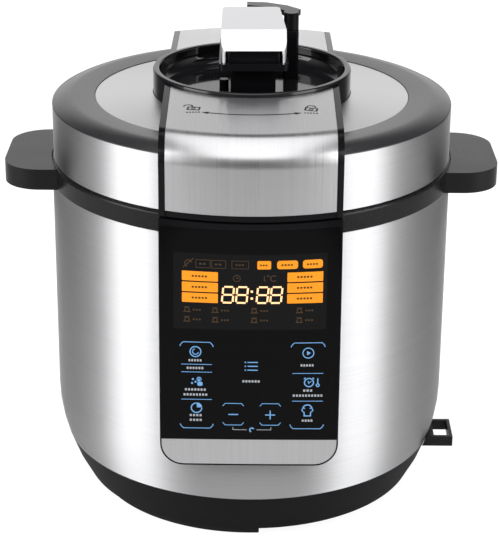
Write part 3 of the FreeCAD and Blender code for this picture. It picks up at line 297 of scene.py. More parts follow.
@dataclass(frozen=True)
class Finish:
    """A finish: one material, and the record's slot it belongs to."""

    name: str
    slot: str
    colour: Colour
    roughness: float

    def sockets(self, graph: Graph) -> dict[str, Any]:
        """Give what the surface shader's sockets take."""
        return {"Base Color": (*self.colour, 1.0), "Roughness": self.roughness}

    def toned(self, graph: Graph, share: Any, low: float, high: float) -> Any:
        """Give the finish's colour, made darker or lighter by a share between two factors."""
        return graph.mix(share, scaled(self.colour, low), scaled(self.colour, high))

    def material(self) -> bpy.types.Material:
        """Give the material, made once."""
        name = f"{self.name}_finish"
        if name in bpy.data.materials:
            return bpy.data.materials[name]
        graph = Graph(bpy.data.materials.new(name))
        return graph.close(self.sockets(graph))


class Grain(Enum):
    """Which way the brushing of a sheet runs, as cells in a metre along X, Y and Z."""

    LEVEL = (5.0, 5.0, 1300.0)
    LENGTHWISE = (1300.0, 5.0, 5.0)


@dataclass(frozen=True)
class Brushed(Finish):
    """Brushed stainless steel with long fine scratches."""

    grain: Grain = Grain.LEVEL
    spread: float = 0.95

    def sockets(self, graph: Graph) -> dict[str, Any]:
        """Give what the surface shader's sockets take."""
        stretch = self.grain.value
        fine = graph.noise(stretch, 4.0, 0.7)
        broad = graph.noise([cells * (0.16 if cells > 100 else 0.6) for cells in stretch], 2.0)
        streak = fine * 0.8 + broad * 0.2
        return {"Base Color": self.toned(graph, streak, 0.84, 1.16),
                "Metallic": 1.0, "Roughness": streak * 0.2 + (self.roughness - 0.1),
                "Anisotropic": self.spread,
                "Anisotropic Rotation": 0.25 if self.grain is Grain.LEVEL else 0.0,
                "Normal": graph.bump(streak, 0.00002, 0.35)}


@dataclass(frozen=True)
class Spun(Finish):
    """Sheet that was brushed as it turned, with rings round the middle."""

    def sockets(self, graph: Graph) -> dict[str, Any]:
        """Give what the surface shader's sockets take."""
        parts = graph.node("ShaderNodeSeparateXYZ", None, {0: graph.place()})
        across, along = (Value(graph, parts.outputs[axis]) for axis in (0, 1))
        ring = (across * across + along * along) ** 0.5
        rings = graph.node("ShaderNodeTexNoise", {"noise_dimensions": "1D"},
                           {"W": ring, "Scale": 1100.0, "Detail": 3.0})
        streak = Value(graph, rings.outputs[0]) * 0.6 + graph.noise((30.0, 30.0, 30.0)) * 0.4
        return {"Base Color": self.toned(graph, streak, 0.88, 1.1),
                "Metallic": 1.0, "Roughness": streak * 0.2 + (self.roughness - 0.1),
                "Anisotropic": 0.4, "Anisotropic Rotation": 0.25,
                "Normal": graph.bump(streak, 0.00002, 0.3)}


@dataclass(frozen=True)
class Moulded(Finish):
    """Moulded plastic or rubber with a fine skin."""

    texture: float = 0.25
    gleam: float = 0.25
    cells: float = 1500.0

    def sockets(self, graph: Graph) -> dict[str, Any]:
        """Give what the surface shader's sockets take."""
        skin = graph.noise([self.cells] * 3, 2.0)
        wear = graph.noise([22.0] * 3, 4.0, 0.6)
        return {"Base Color": self.toned(graph, wear, 0.75, 1.3),
                "Roughness": wear * 0.14 + skin * 0.06 + (self.roughness - 0.1),
                "Specular IOR Level": self.gleam,
                "Normal": graph.bump(skin, 0.00006, self.texture)}


@dataclass(frozen=True)
class Polished(Finish):
    """Polished metal or gloss plastic, with faint smears."""

    metal: float = 1.0
    gleam: float = 0.5

    def sockets(self, graph: Graph) -> dict[str, Any]:
        """Give what the surface shader's sockets take."""
        smear = graph.noise((14.0, 14.0, 40.0), 5.0, 0.6)
        swell = graph.noise([9.0] * 3, 1.0)
        return {"Base Color": self.toned(graph, smear, 0.93, 1.05),
                "Metallic": self.metal, "Roughness": (smear ** 2.0) * 0.09 + self.roughness,
                "Specular IOR Level": self.gleam,
                "Normal": graph.bump(swell, 0.0002, 0.15)}


@dataclass(frozen=True)
class Metallic(Finish):
    """Satin cast, plated or painted metal with small pits."""

    metal: float = 1.0
    pits: float = 420.0
    coat: float = 0.0

    def sockets(self, graph: Graph) -> dict[str, Any]:
        """Give what the surface shader's sockets take."""
        pits = graph.noise([self.pits] * 3, 5.0, 0.65)
        wear = graph.noise([30.0] * 3, 3.0)
        taken = {"Base Color": self.toned(graph, wear, 0.85, 1.12),
                 "Metallic": self.metal,
                 "Roughness": pits * 0.16 + wear * 0.08 + (self.roughness - 0.12),
                 "Normal": graph.bump(pits, 0.00005, 0.3)}
        if self.coat:
            taken.update({"Coat Weight": self.coat, "Coat Roughness": 0.15})
        return taken


@dataclass(frozen=True)
class Speckled(Finish):
    """Non-stick coating with a light fleck."""

    fleck: Colour = (0.42, 0.42, 0.43)

    def sockets(self, graph: Graph) -> dict[str, Any]:
        """Give what the surface shader's sockets take."""
        fleck = graph.noise([520.0] * 3, 2.0).above(0.66)
        return {"Base Color": graph.mix(fleck, self.colour, self.fleck), "Metallic": 0.3,
                "Roughness": fleck * 0.15 + self.roughness,
                "Normal": graph.bump(graph.noise([900.0] * 3), 0.00004, 0.4)}


@dataclass(frozen=True)
class Board(Finish):
    """Solder mask with tracks and bright pads."""

    track: Colour = (0.05, 0.34, 0.14)
    pad: Colour = (0.75, 0.72, 0.6)

    def sockets(self, graph: Graph) -> dict[str, Any]:
        """Give what the surface shader's sockets take."""
        bricks = graph.node("ShaderNodeTexBrick", None,
                            {"Vector": graph.place(), "Scale": 90.0, "Mortar Size": 0.03,
                             "Color1": (*self.colour, 1.0), "Color2": (*self.colour, 1.0),
                             "Mortar": (*self.track, 1.0)})
        pads = graph.noise([260.0] * 3, 0.0).above(0.72)
        both = graph.node("ShaderNodeMix", {"data_type": "RGBA"},
                          {0: pads, 6: bricks.outputs[0], 7: (*self.pad, 1.0)})
        return {"Base Color": both.outputs[2], "Roughness": pads * -0.1 + self.roughness,
                "Metallic": pads * 0.8}


@dataclass(frozen=True)
class Translucent(Finish):
    """Clear or milky plastic that lets part of what is behind it through."""

    alpha: float = 0.5

    def sockets(self, graph: Graph) -> dict[str, Any]:
        """Give what the surface shader's sockets take."""
        haze = graph.noise([40.0] * 3, 3.0)
        return {"Base Color": self.toned(graph, haze, 0.92, 1.0),
                "Roughness": haze * 0.12 + self.roughness, "Alpha": self.alpha, "IOR": 1.49}


@dataclass(frozen=True)
class Ink(Finish):
    """Printed marks, or marks lit from behind; a glow on printed marks is painted light."""

    glow: float = 0.0

    def sockets(self, graph: Graph) -> dict[str, Any]:
        """Give what the surface shader's sockets take."""
        cover = graph.noise([900.0] * 3, 2.0)
        tint = self.toned(graph, cover, 0.86, 1.1)
        taken = {"Base Color": tint, "Roughness": cover * 0.1 + self.roughness,
                 "Specular IOR Level": 0.12}
        # marks lit from behind glow for real; on printed marks this glow is painted light
        if self.glow:
            taken.update({"Emission Color": tint, "Emission Strength": self.glow})
        return taken


SHELL_STEEL = Brushed("body_steel", "brushed_steel", (0.66, 0.66, 0.67), 0.52)
BAND_STEEL = Brushed("band_steel", "brushed_steel", (0.64, 0.64, 0.65), 0.30,
                     grain=Grain.LENGTHWISE, spread=0.3)
PLATE_STEEL = Spun("lid_plate_steel", "brushed_steel", (0.72, 0.72, 0.73), 0.36)
RIM_PAINT = Metallic("rim_paint", "dark_rim", (0.024, 0.024, 0.026), 0.30, metal=0.06, pits=900.0,
                     coat=0.18)
BLACK_SATIN = Moulded("satin_black", "black_plastic", (0.008, 0.008, 0.009), 0.28, texture=0.12,
                      gleam=0.24)
BASE_BLACK = Moulded("base_black", "black_plastic", (0.008, 0.008, 0.009), 0.42, gleam=0.1)
BLACK_MATT = Moulded("matt_black", "black_plastic", (0.017, 0.017, 0.018), 0.5)
BLACK_SHINE = Polished("shiny_black", "black_plastic", (0.005, 0.005, 0.006), 0.12, metal=0.0,
                       gleam=0.14)
BLACK_GLOSS = Polished("gloss_black", "black_gloss", (0.006, 0.006, 0.007), 0.05, metal=0.0,
                       gleam=0.5)
PANEL_GLASS = Polished("panel_black", "black_gloss", (0.003, 0.003, 0.0035), 0.07, metal=0.0,
                       gleam=0.1)
CHROME = Polished("chrome", "chrome", (0.62, 0.62, 0.635), 0.05)
PIN_METAL = Metallic("pin_metal", "pin_metal", (0.6, 0.6, 0.62), 0.28)
NON_STICK = Speckled("non_stick", "coated_aluminium", (0.035, 0.035, 0.038), 0.42)
ALUMINIUM = Metallic("cast_aluminium", "aluminium", (0.66, 0.66, 0.67), 0.42)
STEEL = Metallic("plated_steel", "steel", (0.52, 0.52, 0.54), 0.30)
RUBBER = Moulded("rubber", "rubber", (0.02, 0.02, 0.02), 0.7, texture=0.5, cells=700.0)
SILICONE = Translucent("silicone", "silicone", (0.78, 0.78, 0.75), 0.45, alpha=0.92)
BOARD = Board("circuit_board", "circuit_board", (0.02, 0.18, 0.07), 0.35)
PART = Moulded("component", "component", (0.06, 0.06, 0.07), 0.45)
BRASS = Metallic("pin_brass", "brass_pin", (0.78, 0.6, 0.3), 0.25)
CLEAR = Translucent("clear_plastic", "clear_plastic", (0.8, 0.83, 0.85), 0.08, alpha=0.35)


# ---------------------------------------------------------------- tools of the bench

def traced(outline: Outline, turn: float = 0.14) -> list[tuple[float, float]]:
    """Give the points along an outline.

    Args:
        outline: (a, b), or (a, b, radius of the arc to the next point); a positive one turns left.
        turn: the largest angle between points along an arc, in radians.

    Returns:
        The points, without the first one again.
    """
    points = []
    for index, corner in enumerate(outline):
        points.append((corner[0], corner[1]))
        if len(corner) < 3:
            continue
        start, end = Vector(corner[:2]), Vector(outline[(index + 1) % len(outline)][:2])
        chord, radius = end - start, corner[2]
        left = Vector((-chord.y, chord.x)).normalized()
        rise = math.sqrt(max(radius * radius - chord.length_squared / 4, 0.0))
        centre = (start + end) / 2 + left * math.copysign(rise, radius)
        first = math.atan2(start.y - centre.y, start.x - centre.x)
        sweep = math.atan2(end.y - centre.y, end.x - centre.x) - first
        sweep = sweep % math.tau if radius > 0 else -(-sweep % math.tau)
        count = max(2, math.ceil(abs(sweep) / turn))
        points += [(centre.x + abs(radius) * math.cos(first + sweep * step / count),
                    centre.y + abs(radius) * math.sin(first + sweep * step / count))
                   for step in range(1, count)]
    return points


def rounded(corners: Sequence[tuple[float, float]], radius: float) -> list[tuple[float, ...]]:
    """Give an outline whose corners are rounded by one radius.

    Args:
        corners: the sharp corners, listed left about.
        radius: the radius.

    Returns:
        The outline, as for traced().
    """
    outline: list[tuple[float, ...]] = []
    for index, corner in enumerate(corners):
        here = Vector(corner)
        back = (Vector(corners[index - 1]) - here).normalized()
        ahead = (Vector(corners[(index + 1) % len(corners)]) - here).normalized()
        cut = radius / math.tan(back.angle(ahead) / 2)
        outline += [(*(here + back * cut), radius), tuple(here + ahead * cut)]
    return outline


def steps_between(low: float, high: float, pitch: float) -> list[float]:
    """Give evenly spaced places between two ends, no further apart than a pitch."""
    count = math.ceil((high - low) / pitch)
    return [low + (high - low) * step / count for step in range(1, count)]


class Piece:
    """One mesh, and the steps that shape it."""

    def __init__(self, made: bpy.types.Object, name: str) -> None:
        """Take an object in hand under a name."""
        self.made = made
        made.name = made.data.name = name

    @staticmethod
    def clear() -> None:
        """Leave nothing selected."""
        if bpy.context.object and bpy.context.object.mode != "OBJECT":
            bpy.ops.object.mode_set(mode="OBJECT")
        bpy.ops.object.select_all(action="DESELECT")

    @classmethod
    def drawn(cls, name: str, points: Sequence[Vector], closed: bool = False,
              filled: bool = False) -> "Piece":
        """Draw a line from point to point.

        Args:
            name: the piece's name.
            points: the points in millimetres.
            closed: whether the line ends on its first point.
            filled: whether the line bounds a flat face.

        Returns:
            The piece.
        """
        cls.clear()
        bpy.ops.mesh.primitive_plane_add(size=0.01)
        piece = cls(bpy.context.object, name)
        bpy.ops.object.mode_set(mode="EDIT")
        bpy.ops.mesh.merge(type="CENTER")
        bpy.ops.transform.translate(value=points[0] * MM)
        run = list(points) + ([points[0]] if closed else [])
        for last, following in zip(run, run[1:]):
            bpy.ops.mesh.extrude_vertices_move(
                TRANSFORM_OT_translate={"value": (following - last) * MM})
        bpy.ops.mesh.select_all(action="SELECT")
        if filled:
            bpy.ops.mesh.edge_face_add()
        bpy.ops.object.mode_set(mode="OBJECT")
        return piece

    @classmethod
    def turned(cls, name: str, outline: Outline, steps: int = 180) -> "Piece":
        """Turn a closed outline of (radius, height) about the vertical.

        Args:
            name: the piece's name.
            outline: the outline, as for traced().
            steps: how many steps go round.

        Returns:
            The piece.
        """
        points = [Vector((radius, 0.0, height)) for radius, height in traced(outline)]
        piece = cls.drawn(name, points, closed=True)
        piece.edit()
        bpy.ops.mesh.spin(steps=steps, angle=math.tau, center=(0, 0, 0), axis=(0, 0, 1))
        return piece.tidy()

    @classmethod
    def prism(cls, name: str, outline: Outline, low: float, high: float,
              along: str = "z") -> "Piece":
        """Give an outline a thickness.

        Args:
            name: the piece's name.
            outline: the outline, as for traced(), across the two other axes.
            low: where it starts on its own axis.
            high: where it ends.
            along: the axis.

        Returns:
            The piece.
        """
        lay = {"x": lambda a, b: Vector((low, a, b)), "y": lambda a, b: Vector((a, low, b)),
               "z": lambda a, b: Vector((a, b, low))}[along]
        piece = cls.drawn(name, [lay(a, b) for a, b in traced(outline)], filled=True)
        piece.edit()
        rise = Vector([(high - low) * MM * (axis == along) for axis in "xyz"])
        bpy.ops.mesh.extrude_region_move(TRANSFORM_OT_translate={"value": rise})
        return piece.tidy()

    @classmethod
    def carried(cls, node: str, name: str) -> "Piece":
        """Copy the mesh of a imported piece, with its loose triangles joined.

        Args:
            node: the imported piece.
            name: the copy's name.

        Returns:
            The copy.
        """
        cls.clear()
        source = bpy.data.objects[node]
        source.select_set(True)
        bpy.context.view_layer.objects.active = source
        bpy.ops.object.duplicate()
        piece = cls(bpy.context.object, name)
        bpy.ops.object.parent_clear(type="CLEAR_KEEP_TRANSFORM")
        for key in [key for key in piece.made.keys() if key.startswith("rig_")]:
            del piece.made[key]
        if piece.made.data.has_custom_normals:
            bpy.ops.mesh.customdata_custom_splitnormals_clear()
        piece.edit()
        bpy.ops.mesh.remove_doubles(threshold=WELD)
        bpy.ops.mesh.dissolve_limited(angle_limit=math.radians(0.2))
        bpy.ops.object.mode_set(mode="OBJECT")
        return piece

    def hold(self) -> None:
        """Select this piece alone and make it the active one."""
        self.clear()
        self.made.select_set(True)
        bpy.context.view_layer.objects.active = self.made

    def edit(self) -> None:
        """Select the whole mesh in edit mode."""
        self.hold()
        bpy.ops.object.mode_set(mode="EDIT")
        bpy.ops.mesh.select_all(action="SELECT")

    def tidy(self) -> "Piece":
        """Merge what lies together, and point every face outwards."""
        self.edit()
        bpy.ops.mesh.remove_doubles(threshold=WELD)
        bpy.ops.mesh.normals_make_consistent(inside=False)
        bpy.ops.object.mode_set(mode="OBJECT")
        return self

    def trimmed(self, at: Sequence[float], away: Sequence[float]) -> "Piece":
        """Take off what lies beyond a plane, and close the cut.

        Args:
            at: a point on the plane, in millimetres.
            away: the direction of the side that goes.

        Returns:
            The piece itself.
        """
        self.edit()
        bpy.ops.mesh.bisect(plane_co=Vector(at) * MM, plane_no=away, use_fill=True,
                            clear_outer=True)
        bpy.ops.object.mode_set(mode="OBJECT")
        return self

    def scored(self, axis: int, places: Iterable[float]) -> "Piece":
        """Add edges across the piece where it will bend.

        Args:
            axis: the axis along which the places are.
            places: the places in millimetres.

        Returns:
            The piece itself.
        """
        normal = [float(index == axis) for index in range(3)]
        for where in places:
            self.edit()
            bpy.ops.mesh.bisect(plane_co=Vector(normal) * where * MM, plane_no=normal)
            bpy.ops.object.mode_set(mode="OBJECT")
        return self

    def moved(self, rule: Callable[[Vector], Vector]) -> "Piece":
        """Move each point by a rule that takes and gives millimetres."""
        for vertex in self.made.data.vertices:
            vertex.co = rule(vertex.co / MM) * MM
        self.made.data.update()
        return self

    def modified(self, kind: str, **settings: Any) -> "Piece":
        """Add a modifier and apply it.

        Args:
            kind: the modifier's type.
            settings: its settings.

        Returns:
            The piece itself.
        """
        self.hold()
        modifier = self.made.modifiers.new(kind.title(), kind)
        for key, setting in settings.items():
            setattr(modifier, key, setting)
        bpy.ops.object.modifier_apply(modifier=modifier.name)
        return self

    def without(self, *others: "Piece") -> "Piece":
        """Cut other pieces out of this one, and put them away."""
        for other in others:
            self.modified("BOOLEAN", operation="DIFFERENCE", solver="EXACT", object=other.made)
            bpy.data.objects.remove(other.made)
        return self

    def joined(self, *others: "Piece") -> "Piece":
        """Make other pieces part of this one's mesh."""
        self.hold()
        for piece in others:
            piece.made.select_set(True)
        bpy.ops.object.join()
        return self

    def softened(self, width: float, segments: int = 2, angle: float = 32.0) -> "Piece":
        """Round the sharp edges.

        Args:
            width: how wide the rounding is, in millimetres.
            segments: how many faces go round an edge.
            angle: an edge is sharp above this angle, in degrees.

        Returns:
            The piece itself.
        """
        return self.modified("BEVEL", width=width * MM, segments=segments,
                             limit_method="ANGLE", angle_limit=math.radians(angle))

    def finished(self, finish: Finish, body: str, *nodes: str, angle: float = 34.0) -> "Piece":
        """Shade, dress and hang the piece.

        Args:
            finish: its finish.
            body: the body it moves with.
            nodes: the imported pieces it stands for.
            angle: edges sharper than this stay crisp.

        Returns:
            The piece itself.
        """
        self.hold()
        bpy.ops.object.shade_smooth_by_angle(angle=math.radians(angle))
        self.modified("WEIGHTED_NORMAL", keep_sharp=True, weight=80)
        self.made.data.materials.clear()
        self.made.data.materials.append(finish.material())
        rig.ride(self.made, body)
        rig.slot(self.made, finish.slot)
        if nodes:
            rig.replaces(self.made, *nodes)
        log.info("%s: %d faces, moves with %s", self.made.name, len(self.made.data.polygons),
                 body)
        return self


# ---------------------------------------------------------------- the body

@dataclass
class Body:
    """Steel shell, base and feet, collar with its two ears, and spoon holder."""

    radius: float = 146.0
    wall: float = 0.8
    seam: float = 39.7
    tuck: float = 75.0
    top: float = 240.0
    vents: int = 12

    def build(self) -> None:
        """Make every piece of the body."""
        self.shell()
        self.base()
        for number in (1, 2, 3):
            Piece.carried(f"foot_{number}", f"rubber_foot_{number}").softened(0.6).finished(
                RUBBER, "housing", f"foot_{number}")
        Piece.carried("upper_collar", "collar_with_ears").softened(0.8, 3).finished(
            BLACK_SATIN, "housing", "upper_collar")
        Piece.carried("spoon_holder", "spoon_loop").softened(0.6).finished(
            BLACK_SATIN, "housing", "spoon_holder")

    def shell(self) -> None:
        """Make the brushed wall, open behind the panel and at the power inlet."""
        inner = self.radius - self.wall
        wall = Piece.turned("steel_shell", [
            (self.radius, self.tuck), (self.radius, self.top), (inner, self.top),
            (inner, self.tuck, -111.356), (139.5, self.seam), (140.3, self.seam, 112.156)], 240)
        window = Piece.prism("window", [(-50, 97), (50, 97), (50, 233.3), (-50, 233.3)],
                             -160, -100, "y")
        inlet = Piece.prism("inlet_hole", [(-12.2, 65.8), (12.2, 65.8), (12.2, 82.2),
                                           (-12.2, 82.2)], 100, 160, "y")
        wall.without(window, inlet).finished(SHELL_STEEL, "housing", "outer_shell")

    def base(self) -> None:
        """Make the moulded base with its ring of air slots."""
        base = Piece.turned("base_moulding", [
            (0, 8), (125.9, 8, 144), (140.3, 39.7), (139.2, 39.7), (139.2, 44.7), (136.7, 44.7),
            (136.7, 39.7, -141.5), (123.4, 10.5), (0, 10.5)], 180)
        slots = []
        for index in range(self.vents):
            slot = Piece.prism(f"slot_{index}", [(44, -1.6), (72, -1.6, 1.6), (72, 1.6),
                                                 (44, 1.6, 1.6)], 5, 14)
            slot.edit()
            bpy.ops.transform.rotate(value=math.tau * index / self.vents, orient_axis="Z",
                                     center_override=(0, 0, 0))
            bpy.ops.object.mode_set(mode="OBJECT")
            slots.append(slot)
        base.without(slots[0].joined(*slots[1:])).softened(0.4).finished(
            BASE_BLACK, "housing", "base_shell")


# ---------------------------------------------------------------- the lid

@dataclass
class Lid:
    """Skirt, dark rim, bright plate and dish of the lid, and the strap that runs over them."""

    radius: float = 145.0
    sheet: float = 0.8
    sheet_half: float = 57.0
    bend: float = 20.0
    border: float = 4.4

    def build(self) -> None:
        """Make every piece of the lid."""
        inner = self.radius - self.sheet
        Piece.turned("lid_skirt_sheet", [
            (inner, 255), (self.radius, 255), (self.radius, 294.2), (inner, 294.2)],
            240).softened(0.15).finished(SHELL_STEEL, "lid", "lid_skirt")
        Piece.turned("dark_rim", [
            (110, 293), (143.9, 293), (143.9, 294.2), (self.radius, 294.2), (self.radius, 295, 31),
            (129.5, 299.6), (114, 298.8), (114, 297.4), (110, 297.4)], 240).softened(
                0.4).finished(RIM_PAINT, "lid", "lid_rim")
        Piece.turned("bright_plate", [
            (113.7, 298.4), (72, 300.6), (72, 299.6), (113.7, 297.4)], 200).softened(
                0.15).finished(PLATE_STEEL, "lid", "lid_plate")
        self.dish()
        self.strap("front", -1, 255.5)
        self.strap("rear", 1, 256.8)
        for node, finish in (("lid_carrier", BLACK_MATT), ("pressure_lid", ALUMINIUM),
                             ("sealing_ring", SILICONE), ("vent_pipe", STEEL),
                             ("vent_shield", STEEL), ("hinge_arm_left", STEEL),
                             ("hinge_arm_right", STEEL)):
            Piece.carried(node, f"{node}_piece").softened(0.25).finished(finish, "lid", node)

    def dish(self) -> None:
        """Make the glossy well in which the handle turns."""
        bowl = Piece.turned("gloss_dish", [
            (11.5, 301.5), (69.2, 301.5), (69.2, 293), (71.7, 293), (71.7, 317.3, 1.2),
            (70.5, 318.5), (68.4, 318.5, 1.4), (67, 317.1), (67, 313, -9), (58, 304),
            (11.5, 304)], 200)
        for radius, x, y in ((3.8, 28.5, 24.0), (3.7, -20.0, -11.0)):
            hole = Piece.turned("dish_hole", [(0, 296), (radius, 296), (radius, 310), (0, 310)],
                                40)
            bowl.without(hole.moved(lambda point: point + Vector((x, y, 0.0))))
        bowl.finished(BLACK_GLOSS, "lid", "dish")

    def strap(self, place: str, side: int, foot: float) -> None:
        """Make one half of the strap: its black frame and the steel sheet let into it.

        Args:
            place: front or rear.
            side: -1 in front and 1 behind.
            foot: the height of its foot.
        """
        Piece.carried(f"{place}_band_frame", f"{place}_strap_frame").softened(0.5).finished(
            BLACK_SHINE, "lid", f"{place}_band_frame")
        low = foot + self.border
        sheet = Piece.turned(f"{place}_strap_sheet", [
            (156.7, low), (157.5, low), (157.5, 291.45, self.bend), (138.825, 311.406), (100, 314),
            (72.4, 315.97), (72.4, 315.17), (100, 313.2),
            (138.772, 310.608, self.sheet - self.bend), (156.7, 291.45)], 300)
        sheet.trimmed((0, 0, 0), (0, -side, 0)).trimmed((self.sheet_half, 0, 0), (1, 0, 0))
        sheet.trimmed((-self.sheet_half, 0, 0), (-1, 0, 0)).tidy().softened(0.12, 1).finished(
            BAND_STEEL, "lid", f"{place}_band_sheet", angle=20.0)


# ---------------------------------------------------------------- handle and valves

@dataclass
class Controls:
    """Chrome handle, exhaust lever and float pin."""

    def build(self) -> None:
        """Make every piece that is worked from above."""
        for node, name, finish, body, edge in (
                ("handle_cap", "chrome_handle", CHROME, "lock", 0.7),
                ("handle_core", "handle_pedestal", BLACK_SHINE, "lock", 0.5),
                ("drive_shaft", "drive_shaft_piece", STEEL, "lock", 0.3),
                ("drive_spider", "drive_spider_piece", STEEL, "lock", 0.3),
                ("lock_ring", "lock_ring_piece", STEEL, "lock", 0.3),
                ("valve_post", "exhaust_post", BLACK_SHINE, "lid", 0.5),
                ("release_lever", "exhaust_lever", BLACK_SHINE, "release_lever", 0.7),
                ("float_pin", "float_pin_piece", BLACK_SHINE, "float_valve", 0.3),
                ("float_seal", "float_seal_piece", SILICONE, "float_valve", 0.2)):
            Piece.carried(node, name).softened(edge, 3).finished(finish, body, node)


# ---------------------------------------------------------------- control panel

class Mark(Enum):
    """The inks and lights of the panel and the strap; two of the printed inks carry a painted glow."""

    SCREEN = Ink("screen_grey", "black_gloss", (0.0075, 0.0075, 0.008), 0.16)
    AMBER = Ink("amber_light", "black_gloss", (0.72, 0.24, 0.015), 0.4, glow=0.6)
    PEACH = Ink("digit_light", "black_gloss", (1.0, 0.55, 0.28), 0.4, glow=1.0)
    DIM = Ink("dim_light", "black_gloss", (0.07, 0.042, 0.022), 0.4, glow=0.15)
    DARK = Ink("dark_print", "black_gloss", (0.10, 0.05, 0.01), 0.5)
    # painted glow: this blue print glows though no lamp lights it from behind
    BLUE = Ink("blue_print", "black_gloss", (0.16, 0.36, 0.66), 0.4, glow=0.25)
    # painted glow: this pale print glows though no lamp lights it from behind
    PALE = Ink("pale_print", "black_gloss", (0.40, 0.42, 0.45), 0.4, glow=0.1)
    BLACK = Ink("black_print", "brushed_steel", (0.01, 0.01, 0.012), 0.45)


@dataclass
class Drawing:
    """Flat marks in one ink, laid on a curved surface."""

    name: str
    ink: Mark
    lift: float
    fills: list[Outline] = field(default_factory=list)
    lines: list[tuple[list[tuple[float, float]], float]] = field(default_factory=list)

    def fill(self, x0: float, x1: float, z0: float, z1: float, corner: float = 0.8) -> None:
        """Add a filled block with rounded corners."""
        self.fills.append(rounded([(x0, z0), (x1, z0), (x1, z1), (x0, z1)], corner))

    def line(self, *points: tuple[float, float], width: float = 0.5) -> None:
        """Add a line from point to point."""
        self.lines.append((list(points), width))

    def ring(self, x: float, z: float, radius: float, start: float = 0.0, sweep: float = 360.0,
             width: float = 0.5) -> None:
        """Add a ring or an arc.

        Args:
            x: its middle across.
            z: its middle upwards.
            radius: its radius.
            start: where it starts, in degrees.
            sweep: how far it goes round.
            width: the width of its line.
        """
        count = max(6, int(abs(sweep) / 18))
        angles = [math.radians(start + sweep * step / count) for step in range(count + 1)]
        self.line(*[(x + radius * math.cos(angle), z + radius * math.sin(angle))
                    for angle in angles], width=width)

    def words(self, x: float, z: float, length: float, height: float = 1.5) -> None:
        """Add a row of plain bars where a caption stands.

        Args:
            x: the middle of the row.
            z: its height.
            length: how long the row is.
            height: how high its bars are.
        """
        count = max(2, round(length / 2.1))
        step = length / count
        for index in range(count):
            start = x - length / 2 + index * step
            self.fill(start, start + step * 0.66, z - height / 2, z + height / 2, 0.25)

    def laid(self, surface: Callable[[Vector], Vector], body: str) -> None:
        """Make the marks and lay them on a surface.

        Args:
            surface: turns a flat (x, lift, z) point into its place on the piece.
            body: the body they move with.
        """
        pieces = []
        for index, outline in enumerate(self.fills):
            pieces.append(Piece.drawn(f"{self.name}_fill_{index}", [
                Vector((a, 0.0, b)) for a, b in traced(outline, 0.5)], filled=True))
        for index, (points, width) in enumerate(self.lines):
            pieces.append(self.ribbon(index, points, width))
        whole = pieces[0].joined(*pieces[1:]) if len(pieces) > 1 else pieces[0]
        for axis in (0, 2):
            places = [vertex.co[axis] / MM for vertex in whole.made.data.vertices]
            whole.scored(axis, steps_between(min(places), max(places), 3.0))
        whole.made.name = whole.made.data.name = self.name
        whole.moved(lambda point: surface(Vector((point.x, self.lift, point.z))))
        whole.finished(self.ink.value, body)

    def ribbon(self, index: int, points: list[tuple[float, float]], width: float) -> Piece:
        """Make a flat line of a width along points.

        Args:
            index: its number.
            points: the points it runs through.
            width: its width.

        Returns:
            The line's piece.
        """
        closed = (Vector(points[0]) - Vector(points[-1])).length < 0.01
        run = [Vector(point) for point in (points[:-1] if closed else points)]
        count = len(run)
        left, right = [], []
        for number, point in enumerate(run):
            back = run[number - 1] if number or closed else None
            ahead = run[(number + 1) % count] if number < count - 1 or closed else None
            ways = [(point - back).normalized()] if back is not None else []
            ways += [(ahead - point).normalized()] if ahead is not None else []
            way = sum(ways, Vector((0.0, 0.0))).normalized()
            stretch = width / 2 / max(0.4, abs(way.dot(ways[0])))
            side = Vector((-way.y, way.x)) * stretch
            left.append(point + side)
            right.append(point - side)
        mesh = bpy.data.meshes.new(f"{self.name}_line_{index}")
        spots = [(spot.x * MM, 0.0, spot.y * MM) for spot in left + right]
        faces = [(number, number + count, (number + 1) % count + count, (number + 1) % count)
                 for number in range(count if closed else count - 1)]
        mesh.from_pydata(spots, [], faces)
        made = bpy.data.objects.new(mesh.name, mesh)
        bpy.context.scene.collection.objects.link(made)
        return Piece(made, mesh.name)


